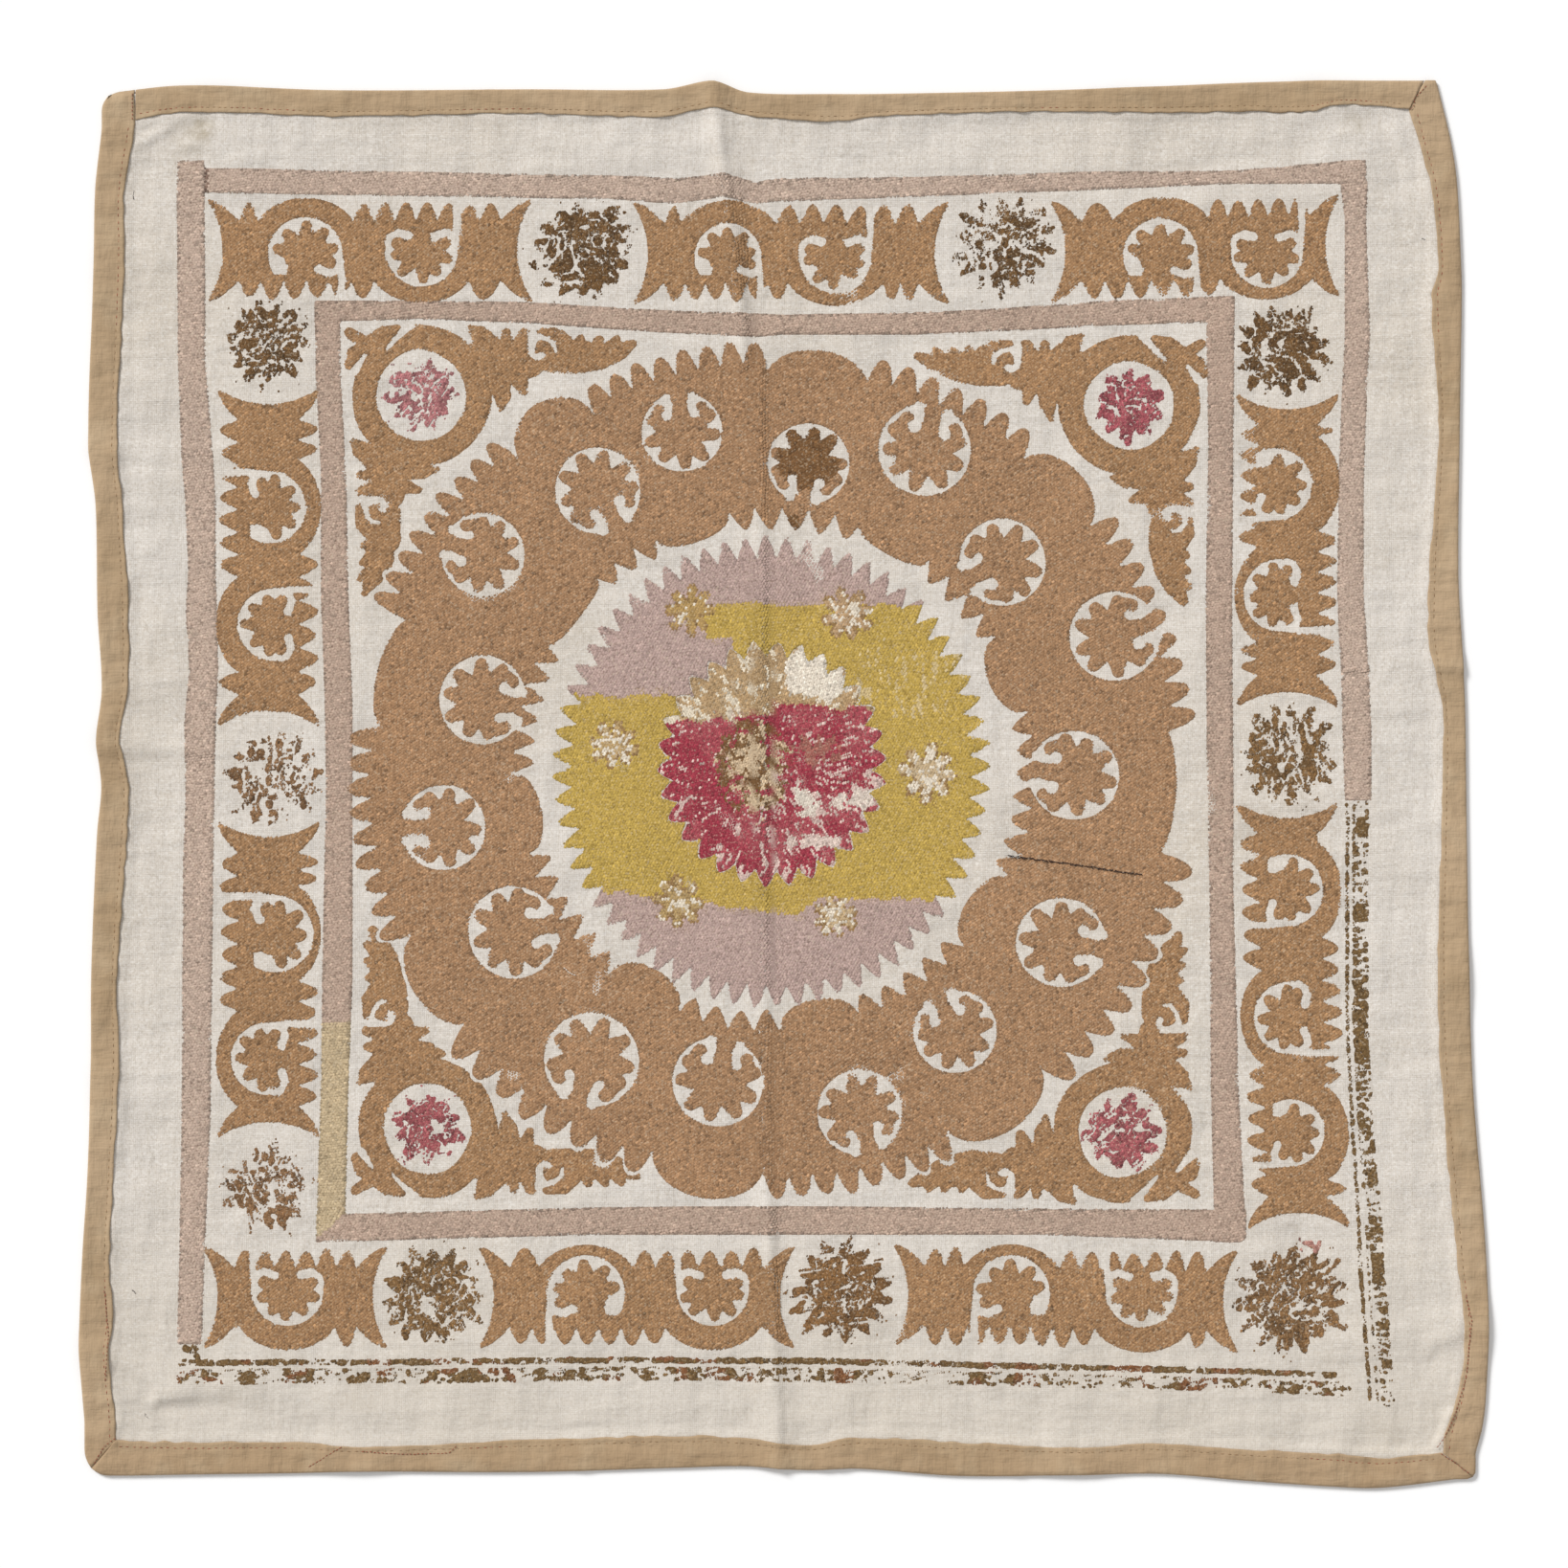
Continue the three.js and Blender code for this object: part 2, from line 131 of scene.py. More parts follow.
# Sharper creases on the folds: a height below 0 is a trough
CREASES = [
    (-56, 551, -30, 330, 2.2, 1.9, 8), (-30, 551, -24, 400, -1.5, -1.3, 9),
    (-24, 400, -20, 300, -1.3, -0.8, 9), (-20, 330, -14, -330, 1.7, 1.5, 8),
    (-12, -330, -4, -551, 1.8, 2.2, 7), (-9, -400, -8, -551, -0.5, -0.9, 5),
    (38, -551, 36, -450, -1.5, -0.5, 7), (-6, 524, -6, 500, 1.4, 0.0, 4),
    (-552, 32, -440, 24, 1.2, 0.7, 6), (-552, 20, -440, 14, -1.4, -0.5, 9),
    (-552, 260, -400, 258, 1.0, 0.5, 5), (552, 92, 440, 90, 1.0, 0.7, 5),
    (552, 84, 440, 84, -0.8, -0.5, 6), (-524, -460, -499, -475, -2.7, -2.4, 9),
    (-499, -475, -485, -486, -2.4, -0.7, 9), (-490, -480, -438, -473, 1.9, 1.2, 7),
    (-438, -473, -330, -478, 1.2, 0.0, 9), (-490, -490, -430, -487, -1.4, -0.5, 7),
    (-500, -524, -480, -530, 1.2, 0.8, 4), (-492, -532, -470, -526, 1.0, 0.5, 4),
    (523, -492, 511, -517, 1.9, 1.5, 5), (516, -490, 505, -512, -1.7, -1.2, 5),
    (514, -440, 521, -450, -1.5, -0.8, 5), (439, 510, 454, 495, 1.5, 0.8, 5),
    (452, 524, 460, 512, -1.5, -0.7, 6), (500, 470, 520, 430, 1.2, 0.3, 9),
    (-540, 470, -500, 440, 0.8, 0.3, 10), (180, -551, 196, -490, 1.0, 0.2, 9),
    (300, -551, 290, -480, -1.0, -0.2, 12), (-160, -551, -150, -490, 1.2, 0.2, 11),
    (-230, 551, -236, 490, 1.0, 0.2, 10), (120, 551, 128, 500, -1.0, -0.2, 10),
    (-507, 500, -470, 522, 1.6, 1.3, 8), (-503, 486, -452, 520, -1.5, -1.3, 8),
    (-470, 500, -440, 515, 1.0, 0.4, 8), (456, 526, 472, 482, -2.2, -0.8, 10),
    (478, 522, 492, 470, 1.8, 0.6, 11), (504, -452, 529, -440, -1.6, -2.4, 8),
    (502, -441, 528, -429, 0.8, 1.9, 8), (489, -524, 400, -519, 1.5, 0.4, 6),
    (480, -505, 430, -512, -0.9, -0.3, 7),
]

# Low unevenness of the laid cloth, and puckers drawn up by the seam
RIPPLE_HEIGHT = 0.75
RIPPLE_CELL = 34.0
WRINKLE_HEIGHT = 0.2
WRINKLE_CELL = 11.0
PUCKER_HEIGHT = 0.9
PUCKER_REACH = 38.0
PUCKER_CELL = 9.0
PUCKER_STRETCH = 0.22
PUCKER_PATCH = 60.0
PUCKER_SIDE = 500.0

# Mesh steps of the ground: close in the margins, wider under the embroidery
RIM_LINES = (RIM_IN_FOLD, 8.0, 14.0, 19.0)
MARGIN_STEP = 2.7
MARGIN_WIDTH = 62.0
FIELD_STEP = 6.4
CREASE_STEP = 3.2
CREASE_RANGE = (-64.0, 22.0)
LEVEL_CREASE_RANGE = (0.0, 30.0)
THINNEST = 0.6

# Share of the creases that reaches the strips
STRIP_CREASE = 0.8


def fade(distance, start, end):
    """1 up to start, 0 from end on, smooth between them."""
    t = np.clip((distance - start) / (end - start), 0, 1)
    return 1 - t * t * (3 - 2 * t)


def read_side(side, at, column):
    """A smooth curve through one column of a side's table."""
    knots = side["at"]
    values = side[column]
    last = len(knots) - 1
    index = np.arange(last + 1)
    before = np.maximum(index - 1, 0)
    after = np.minimum(index + 1, last)
    slopes = (values[after] - values[before]) / (knots[after] - knots[before])
    place = np.clip(at, knots[0], knots[last])
    i = np.clip(np.searchsorted(knots, place, side="right") - 1, 0, last - 1)
    span = knots[i + 1] - knots[i]
    t = (place - knots[i]) / span
    start = values[i] * (1 + 2 * t) * (1 - t) ** 2
    end = values[i + 1] * t * t * (3 - 2 * t)
    bends = slopes[i] * t * (1 - t) ** 2 + slopes[i + 1] * t * t * (t - 1)
    return start + end + bends * span


def side_shift(side, at, distance):
    """How far a point at this distance from the edge moves inwards."""
    inset = read_side(side, at, "inset") * fade(distance, INSET_HOLD, INSET_REACH)
    share = np.where(distance < BINDING, distance / BINDING, fade(distance, BINDING, BINDING + BAND_REACH))
    return inset + (read_side(side, at, "band") - BINDING) * share


def round_corners(x, y):
    """Rounds the corners of the plain rectangle."""
    x = np.array(x, dtype=float)
    y = np.array(y, dtype=float)
    for corner in CORNERS:
        radius = corner["radius"]
        across = 1 - (CLOTH_WIDTH / 2 - np.abs(x)) / radius
        along = 1 - (CLOTH_HEIGHT / 2 - np.abs(y)) / radius
        here = (across > 0) & (along > 0) & ((x > 0) == corner["right"]) & ((y > 0) == corner["top"])
        round_x = across * np.sqrt(np.clip(1 - along ** 2 / 2, 0, 1))
        round_y = along * np.sqrt(np.clip(1 - across ** 2 / 2, 0, 1))
        new_x = np.sign(x) * (CLOTH_WIDTH / 2 - (1 - round_x) * radius)
        new_y = np.sign(y) * (CLOTH_HEIGHT / 2 - (1 - round_y) * radius)
        x = np.where(here, new_x, x)
        y = np.where(here, new_y, y)
    return x, y


def to_cloth(plain_x, plain_y):
    """From the plain rectangle to the cloth's real, uneven outline."""
    x, y = round_corners(plain_x, plain_y)
    from_left = side_shift(LEFT, y, x + CLOTH_WIDTH / 2)
    from_right = side_shift(RIGHT, y, CLOTH_WIDTH / 2 - x)
    cloth_x = x + from_left - from_right
    from_bottom = side_shift(BOTTOM, cloth_x, y + CLOTH_HEIGHT / 2)
    from_top = side_shift(TOP, cloth_x, CLOTH_HEIGHT / 2 - y)
    return cloth_x, y + from_bottom - from_top


def outline_middle():
    """Middle of the uneven outline's box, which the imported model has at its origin."""
    side = np.linspace(-1, 1, 801)
    ends = np.ones_like(side)
    plain_x = np.concatenate([side, side, -ends, ends]) * CLOTH_WIDTH / 2
    plain_y = np.concatenate([-ends, ends, side, side]) * CLOTH_HEIGHT / 2
    x, y = to_cloth(plain_x, plain_y)
    return (x.min() + x.max()) / 2, (y.min() + y.max()) / 2


MIDDLE_X, MIDDLE_Y = outline_middle()
NOISE_SIDE = 256
NOISE_SHIFT = (97.3, 61.7)


def soft_noise(x, y, cell, seed):
    """Smooth seeded noise from -1 to 1 whose lumps are about one cell wide."""
    lattice = np.random.default_rng(seed).uniform(-1, 1, (NOISE_SIDE, NOISE_SIDE))
    u = np.asarray(x) / cell + NOISE_SHIFT[0]
    v = np.asarray(y) / cell + NOISE_SHIFT[1]
    column = np.floor(u).astype(int)
    row = np.floor(v).astype(int)
    s = u - column
    t = v - row
    s = s * s * (3 - 2 * s)
    t = t * t * (3 - 2 * t)
    left = column % NOISE_SIDE
    right = (column + 1) % NOISE_SIDE
    near = row % NOISE_SIDE
    far = (row + 1) % NOISE_SIDE
    low = lattice[near, left] * (1 - s) + lattice[near, right] * s
    high = lattice[far, left] * (1 - s) + lattice[far, right] * s
    return low * (1 - t) + high * t


def nearest(x, y, start, end):
    """Share of a straight run at its point nearest to each place, and the distance from there."""
    run_x = end[0] - start[0]
    run_y = end[1] - start[1]
    t = np.clip(((x - start[0]) * run_x + (y - start[1]) * run_y) / (run_x ** 2 + run_y ** 2), 0, 1)
    return t, np.hypot(x - start[0] - t * run_x, y - start[1] - t * run_y)


def run_profile(x, y, fold):
    """Height that one fold or crease alone gives at each point."""
    x1, y1, x2, y2, start, end, reach = fold
    t, distance = nearest(x, y, (x1, y1), (x2, y2))
    return (start + (end - start) * t) * fade(distance, 0, reach)


def fold_height(x, y):
    """Height of the folds, as the solids have them."""
    height = np.zeros_like(x)
    for fold in FOLDS:
        height = np.maximum(height, run_profile(x, y, fold))
    return height


def crease_height(x, y):
    """Height of the sharper creases, one on top of the other."""
    height = np.zeros_like(x)
    for crease in CREASES:
        height = height + run_profile(x, y, crease)
    return height


def strip_lift(x, y):
    """How far the folds and creases lift the strips."""
    return np.maximum(0, fold_height(x, y) + STRIP_CREASE * crease_height(x, y))


def ripple_height(x, y):
    wide = RIPPLE_HEIGHT * soft_noise(x, y, RIPPLE_CELL, 11)
    close = WRINKLE_HEIGHT * soft_noise(x, y, WRINKLE_CELL, 12)
    return wide + close


def linen_top(x, y):
    """Top of the linen inside the margins, where the embroidery lies."""
    return LAYER + np.maximum(0, fold_height(x, y) + crease_height(x, y)) + ripple_height(x, y)


def placed(x, y, z):
    """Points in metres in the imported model's frame."""
    return np.stack([x - MIDDLE_X, y - MIDDLE_Y, z], axis=-1).reshape(-1, 3) / METRE


def mesh_object(name, points, faces, material, corner_map=None, colours=None):
    """A smooth object from points in metres; corner_map gives the bake map's place of each corner."""
    mesh = bpy.data.meshes.new(name)
    faces = np.asarray(faces, dtype=np.int32)
    sides = faces.shape[1]
    mesh.vertices.add(len(points))
    mesh.vertices.foreach_set("co", np.asarray(points, dtype=np.float32).ravel())
    mesh.loops.add(faces.size)
    mesh.loops.foreach_set("vertex_index", faces.ravel())
    mesh.polygons.add(len(faces))
    mesh.polygons.foreach_set("loop_start", np.arange(0, faces.size, sides, dtype=np.int32))
    mesh.polygons.foreach_set("use_smooth", np.ones(len(faces), dtype=bool))
    mesh.update(calc_edges=True)
    if corner_map is not None:
        layer = mesh.uv_layers.new(name="OFBake")
        layer.data.foreach_set("uv", np.asarray(corner_map, dtype=np.float32).ravel())
    if colours is not None:
        shades = np.ones((len(points), 4), dtype=np.float32)
        shades[:, :3] = colours
        attribute = mesh.color_attributes.new("shade", "FLOAT_COLOR", "POINT")
        attribute.data.foreach_set("color", shades.ravel())
    mesh.materials.append(material)
    made = bpy.data.objects.new(name, mesh)
    bpy.context.scene.collection.objects.link(made)
    return made


# Bake maps: where a piece's top, underside and rims lie on its own square
MAP_REACH = CLOTH_WIDTH + 20
TOP_SQUARE = (0.0, 0.0, 0.76)
UNDER_SQUARE = (0.77, 0.0, 0.22)
RIM_LOW = 0.80
RIM_HIGH = 0.84
RIM_WIDE = 0.9
PATCH_SQUARE = (0.0, 0.0, 0.5)
STITCH_SQUARE = (0.5, 0.0, 0.5)
THREAD_SQUARE = (0.0, 0.0, 1.0)


def flat_map(x, y, left, low, size):
    """Map places for points of the cloth, seen from above, in one square of the map."""
    across = (np.asarray(x) - MIDDLE_X) / MAP_REACH + 0.5
    upward = (np.asarray(y) - MIDDLE_Y) / MAP_REACH + 0.5
    return np.stack([left + size * across, low + size * upward], axis=-1)


def corner_places(across, upward):
    """Map places of the corners of many faces, from one list for each corner."""
    return np.stack([np.stack(np.broadcast_arrays(u, v), axis=1) for u, v in zip(across, upward)], axis=1)


def cell_map(count, places, left, low, size):
    """Map places of many small shapes, each in a square of its own."""
    side = math.ceil(math.sqrt(count))
    order = np.arange(count)
    first = np.stack([order % side, order // side], axis=1)[:, None, :]
    return np.array([left, low]) + (first + np.array(places)[None]) * size / side


def steps_between(start, end, step):
    count = max(1, math.ceil((end - start) / step))
    return np.linspace(start, end, count, endpoint=False)


def ground_lines(size, close):
    """Positions of the ground's mesh lines along one side; close is a stretch with finer steps."""
    half = size / 2
    margin = steps_between(BINDING, MARGIN_WIDTH, MARGIN_STEP)
    low = np.concatenate([RIM_LINES, margin]) - half
    field = [
        steps_between(MARGIN_WIDTH - half, close[0], FIELD_STEP),
        steps_between(close[0], close[1], CREASE_STEP),
        steps_between(close[1], half - MARGIN_WIDTH, FIELD_STEP),
    ]
    return np.concatenate([low, *field, [half - MARGIN_WIDTH], -low[::-1]])


def seam_puckers(plain_x, plain_y):
    """Short ripples that run into the cloth from the seam of the binding."""
    from_x = CLOTH_WIDTH / 2 - np.abs(plain_x)
    from_y = CLOTH_HEIGHT / 2 - np.abs(plain_y)
    height = np.zeros_like(from_x)
    for distance, along, seed in ((from_x, plain_y, 21), (from_y, plain_x, 22)):
        side = np.where(distance == from_x, np.sign(plain_x), np.sign(plain_y)) * PUCKER_SIDE
        ripple = soft_noise(along + side, distance * PUCKER_STRETCH + side, PUCKER_CELL, seed)
        patchy = 0.55 + 0.45 * soft_noise(along + side, side, PUCKER_PATCH, seed + 5)
        rise = fade(BINDING + 4 - distance, 0, 6)
        height += PUCKER_HEIGHT * patchy * ripple * fade(distance, BINDING, BINDING + PUCKER_REACH) * rise
    return height


def ground_heights(plain_x, plain_y, x, y):
    """Underside and top of the linen."""
    from_side = np.minimum(CLOTH_WIDTH / 2 - np.abs(plain_x), CLOTH_HEIGHT / 2 - np.abs(plain_y))
    free = 1 - fade(from_side, BINDING - 2, BINDING + 6)
    share = STRIP_CREASE + (1 - STRIP_CREASE) * free
    folds = np.maximum(0, fold_height(x, y) + share * crease_height(x, y))
    loose = free * ripple_height(x, y) + seam_puckers(plain_x, plain_y)
    lift = LINEN_LIFT * fade(from_side, BINDING, BINDING + SLOPE_LENGTH)
    under = np.maximum(0, lift + folds + loose)
    return under, np.maximum(under + THINNEST, lift + folds + loose + LAYER)


def build_ground(material):
    """The linen: its top, underside and rim as one closed sheet."""
    lines_x = ground_lines(CLOTH_WIDTH, CREASE_RANGE)
    lines_y = ground_lines(CLOTH_HEIGHT, LEVEL_CREASE_RANGE)
    plain_x, plain_y = np.meshgrid(lines_x, lines_y)
    x, y = to_cloth(plain_x, plain_y)
    under, top = ground_heights(plain_x, plain_y, x, y)
    rows, columns = x.shape
    index = np.arange(rows * columns).reshape(rows, columns)
    a = index[:-1, :-1].ravel()
    b = index[:-1, 1:].ravel()
    c = index[1:, 1:].ravel()
    d = index[1:, :-1].ravel()
    upper = rows * columns
    top_faces = np.stack([a, b, c, d], axis=1) + upper
    under_faces = np.stack([a, d, c, b], axis=1)
    rim = np.concatenate([index[0, :-1], index[:-1, -1], index[-1, :0:-1], index[:0:-1, 0]])
    following = np.roll(rim, -1)
    rim_faces = np.stack([rim, following, following + upper, rim + upper], axis=1)
    top_map = flat_map(x, y, *TOP_SQUARE).reshape(-1, 2)
    under_map = flat_map(x, y, *UNDER_SQUARE).reshape(-1, 2)
    place = np.arange(len(rim)) / len(rim) * RIM_WIDE
    after = place + RIM_WIDE / len(rim)
    rim_map = corner_places((place, after, after, place), (RIM_LOW, RIM_LOW, RIM_HIGH, RIM_HIGH))
    corner_map = np.concatenate([top_map[top_faces - upper], under_map[under_faces], rim_map])
    points = np.concatenate([placed(x, y, under), placed(x, y, top)])
    faces = np.concatenate([top_faces, under_faces, rim_faces])
    return mesh_object("linen_ground", points, faces, material, corner_map)


# Binding strips, as one folded ribbon of cloth each
RIBBON = 0.7
FOLD_RADIUS = 1.85
FRONT_RISE = 3.35
FRONT_SINK = 0.5
STITCH_LINE = 4.6
RELIEF_LOW = -0.3
STRIP_STEP = 4.2
SEAM_GAP = 0.25
GROOVE_DEPTH = 0.36
GROOVE_HALF = 2.2
STRIP_PUCKER = 0.8
STRIP_PUCKER_CELL = 6.5
STRIP_SOFT = 0.22
STRIP_SOFT_CELL = 19.0
HEM_RISE = 0.16
EDGE_WAVE = 1.0
EDGE_WAVE_CELL = 9.0
PRESSED_LENGTH = 3.2
PRESSED_LEVEL = 1.1
SIDE_MAP = (0.95, 0.9)
CAP_MAP = (0.96, 0.95)
CAP_WIDE = 0.02
CAP_HIGH = 0.016
FRONT_PLACES = (22.6, 21.2, 19.8, 18.4, 17.0, 14.6, 11.4, 8.0, 4.6)
FOLD_ANGLES = (90, 45, 0, -45, -90)
BACK_PLACES = (6.0, 14.0, 21.6)


def ribbon_path():
    """The ribbon's middle line across the strip: distance from the edge and height."""
    front = [(at, FRONT_RISE - FRONT_SINK * (at / BINDING) ** 1.5) for at in FRONT_PLACES]
    radius = FOLD_RADIUS - RIBBON / 2
    turns = [math.radians(angle) for angle in FOLD_ANGLES]
    arc = [(FOLD_RADIUS - radius * math.cos(turn), FOLD_RADIUS + radius * math.sin(turn)) for turn in turns]
    back = [(at, RIBBON / 2) for at in BACK_PLACES]
    return np.array(front + arc + back)


def strip_end(corner, along_x, distance):
    """Where a strip ends at a corner, measured from it, at each distance from its own edge."""
    seam = corner["seam"]
    if along_x:
        return seam + (BINDING - seam) * distance / BINDING + SEAM_GAP
    if seam >= BINDING:
        return np.zeros_like(distance)
    return np.where(distance <= seam, 0, (distance - seam) * BINDING / (BINDING - seam))


def strip_corners(along_x, positive):
    mine = [c for c in CORNERS if (c["top"] if along_x else c["right"]) == positive]
    return sorted(mine, key=lambda corner: corner["right"] if along_x else corner["top"])


def strip_stations(along_x, positive, distance):
    """Positions along the strip, one row for each station and one column for each distance."""
    half = (CLOTH_WIDTH if along_x else CLOTH_HEIGHT) / 2
    first, last = strip_corners(along_x, positive)
    inner = half - BINDING - 2
    lines = np.linspace(-inner, inner, round(2 * inner / STRIP_STEP))
    parts = np.linspace(0, 1, 6, endpoint=False)[:, None]
    start = half - strip_end(first, along_x, distance)[None, :]
    end = half - strip_end(last, along_x, distance)[None, :]
    before = -(start + (inner - start) * parts)
    after = (end + (inner - end) * parts)[::-1]
    return np.concatenate([before, np.repeat(lines[:, None], len(distance), axis=1), after])


def strip_relief(distance, along, seed):
    """Puckers and the groove along the sewn inner part of a strip's front."""
    from_stitches = np.abs(distance - (BINDING - STITCH_LINE))
    groove = -GROOVE_DEPTH * fade(from_stitches, 0, GROOVE_HALF)
    slant = along + 0.8 * distance * soft_noise(along, along * 0, 60, seed + 2)
    ripple = soft_noise(slant, distance * 0.25, STRIP_PUCKER_CELL, seed)
    pucker = STRIP_PUCKER * ripple * fade(from_stitches, 1, 14)
    soft = STRIP_SOFT * soft_noise(along, distance, STRIP_SOFT_CELL, seed + 1)
    hem = HEM_RISE * fade(BINDING - distance, 1.5, 5)
    return np.maximum(groove + pucker + soft + hem, RELIEF_LOW)


def on_side(along_x, positive, along, distance):
    """Places on the cloth along one of its sides, at a distance from the plain edge."""
    depth = (CLOTH_HEIGHT if along_x else CLOTH_WIDTH) / 2
    out = (depth - distance) * (1 if positive else -1)
    return to_cloth(along, out) if along_x else to_cloth(out, along)


def build_strip(name, along_x, positive, material, seed):
    """One binding strip: a ribbon with a thickness, folded round the edge, and its two cut ends."""
    path = ribbon_path()
    steps = np.gradient(path, axis=0)
    normal = np.stack([-steps[:, 1], steps[:, 0]], axis=1)
    normal = -normal / np.hypot(normal[:, 0], normal[:, 1])[:, None]
    along = strip_stations(along_x, positive, path[:, 0])
    count = len(path)
    front = np.arange(count) < len(FRONT_PLACES)
    leaves = []
    for half in (RIBBON / 2, -RIBBON / 2):
        distance = np.broadcast_to(path[:, 0] + normal[:, 0] * half, along.shape)
        height = np.broadcast_to(path[:, 1] + normal[:, 1] * half, along.shape)
        height = height + np.where(front, strip_relief(distance, along, seed), 0)
        wave = EDGE_WAVE * soft_noise(along, np.zeros_like(along), EDGE_WAVE_CELL, seed + 3)
        distance = distance + np.where(front, wave * fade(BINDING - distance, 0, 9), 0)
        if not along_x and not positive:
            shut = 1 - fade(CLOTH_HEIGHT / 2 - along, 0, PRESSED_LENGTH)
            pressed = PRESSED_LEVEL + half + (height - PRESSED_LEVEL - half) * np.sqrt(shut)
            height = np.where(front, pressed, height)
        x, y = on_side(along_x, positive, along, distance)
        leaves.append(placed(x, y, height + strip_lift(x, y)))
    rows = len(along)
    ring = np.concatenate([np.arange(count), count * rows + np.arange(count)[::-1]])
    station = np.arange(rows - 1)[:, None] * count
    following = np.roll(ring, -1)
    a = station + ring[None, :]
    b = station + following[None, :]
    sides = np.stack([a, b, b + count, a + count], axis=-1).reshape(-1, 4)
    leaf = np.arange(count - 1)
    inner = leaf + count * rows
    first_cap = np.stack([leaf, inner, inner + 1, leaf + 1], axis=1)
    last_cap = first_cap[:, ::-1] + count * (rows - 1)
    faces = np.concatenate([sides, first_cap, last_cap])
    if along_x == positive:
        faces = faces[:, ::-1]
    ring_place = np.arange(len(ring) + 1) / (len(ring) + 1)
    row_place = np.arange(rows) / rows
    low_u = np.repeat(row_place[:-1], len(ring)) * SIDE_MAP[0]
    high_u = np.repeat(row_place[1:], len(ring)) * SIDE_MAP[0]
    low_v = np.tile(ring_place[:-1], rows - 1) * SIDE_MAP[1]
    high_v = np.tile(ring_place[1:], rows - 1) * SIDE_MAP[1]
    side_map = corner_places((low_u, low_u, high_u, high_u), (low_v, high_v, high_v, low_v))
    cap_v = np.arange(2 * len(leaf)) / (2 * len(leaf)) * CAP_MAP[1]
    cap_top = cap_v + CAP_HIGH
    left = CAP_MAP[0]
    right = left + CAP_WIDE
    cap_map = corner_places((left, left, right, right), (cap_v, cap_top, cap_top, cap_v))
    corner_map = np.concatenate([side_map, cap_map])
    if along_x == positive:
        corner_map = corner_map[:, ::-1]
    return mesh_object(name, np.concatenate(leaves), faces, material, corner_map)


# Embroidery. A grid over the cloth holds how far each point lies inside the stitched shapes.
GRID_REACH = 500.0
FAR = 60.0


class Layer:
    """Stitched shapes of one kind: depth inside them and colour of the yarn, on a grid."""

    def __init__(self, step):
        self.step = step
        self.at = np.arange(-GRID_REACH, GRID_REACH + step, step)
        self.inside = np.full((len(self.at), len(self.at)), -FAR)
        self.yarn = np.zeros(self.inside.shape + (3,))

    def part(self, box):
        low_x, low_y, high_x, high_y = box
        columns = slice(*np.searchsorted(self.at, (low_x, high_x)))
        rows = slice(*np.searchsorted(self.at, (low_y, high_y)))
        x, y = np.meshgrid(self.at[columns], self.at[rows])
        return (rows, columns), x, y

    def add(self, box, shape, colour):
        part, x, y = self.part(box)
        value = shape(x, y)
        self.yarn[part][value > self.inside[part]] = colour
        self.inside[part] = np.maximum(self.inside[part], value)

    def cut(self, box, shape):
        part, x, y = self.part(box)
        self.inside[part] = np.minimum(self.inside[part], -shape(x, y))

    def tint(self, box, shape, colour):
        part, x, y = self.part(box)
        self.yarn[part][shape(x, y) > 0] = colour

    def settle(self):
        """Turns the depths into true distances close to the outlines."""
        down, across = np.gradient(self.inside, self.step)
        self.inside = self.inside / np.maximum(1, np.hypot(down, across))

    def read(self, x, y):
        """Depth at any points."""
        column = np.clip((x + GRID_REACH) / self.step, 0, len(self.at) - 1.001)
        row = np.clip((y + GRID_REACH) / self.step, 0, len(self.at) - 1.001)
        i = row.astype(int)
        j = column.astype(int)
        t = row - i
        s = column - j
        low = self.inside[i, j] * (1 - s) + self.inside[i, j + 1] * s
        high = self.inside[i + 1, j] * (1 - s) + self.inside[i + 1, j + 1] * s
        return low * (1 - t) + high * t

    def colour(self, x, y):
        column = np.clip(np.rint((x + GRID_REACH) / self.step), 0, len(self.at) - 1).astype(int)
        row = np.clip(np.rint((y + GRID_REACH) / self.step), 0, len(self.at) - 1).astype(int)
        return self.yarn[row, column]


def around(middle, reach):
    return middle[0] - reach, middle[1] - reach, middle[0] + reach, middle[1] + reach


# Shapes: positive inside, in millimetres
def disc(x, y, radius):
    return radius - np.hypot(x, y)


def limb(x, y, start, end, start_radius, end_radius):
    """A straight tapering piece with round ends."""
    t, distance = nearest(x, y, start, end)
    return start_radius + (end_radius - start_radius) * t - distance


def strand(x, y, points, radii):
    """Tapering pieces one after another."""
    shape = np.full_like(x, -FAR)
    for i in range(len(points) - 1):
        piece = limb(x, y, points[i], points[i + 1], radii[i], radii[i + 1])
        shape = np.maximum(shape, piece)
    return shape


def teeth(t, power=1.6, lean=1.0):
    """Teeth between whole numbers: a higher power is rounder, a lean over 1 moves tips forward."""
    share = (t - np.floor(t)) ** lean
    return 1 - np.abs(2 * share - 1) ** power


def turned(x, y, middle, degrees):
    """Places in a frame round a middle whose first axis points to this angle."""
    turn = math.radians(degrees)
    from_x = x - middle[0]
    from_y = y - middle[1]
    across = from_x * math.cos(turn) + from_y * math.sin(turn)
    return across, from_y * math.cos(turn) - from_x * math.sin(turn)


# Colours of the yarns
TAN = linear(176, 136, 100)
BORDER_TAN = linear(173, 133, 94)
MAUVE = linear(201, 177, 160)
INNER_MAUVE = linear(193, 167, 149)
MEDALLION_MAUVE = linear(193, 166, 157)
YELLOW = linear(200, 169, 84)
FADED_YELLOW = linear(204, 182, 146)
FADED_RED = linear(196, 128, 130)
WORN_TAN = linear(190, 158, 116)
WORN_BROWN = linear(150, 112, 76)
DARK_BROWN = linear(120, 88, 52)
ROSETTE_BROWN = linear(128, 92, 56)


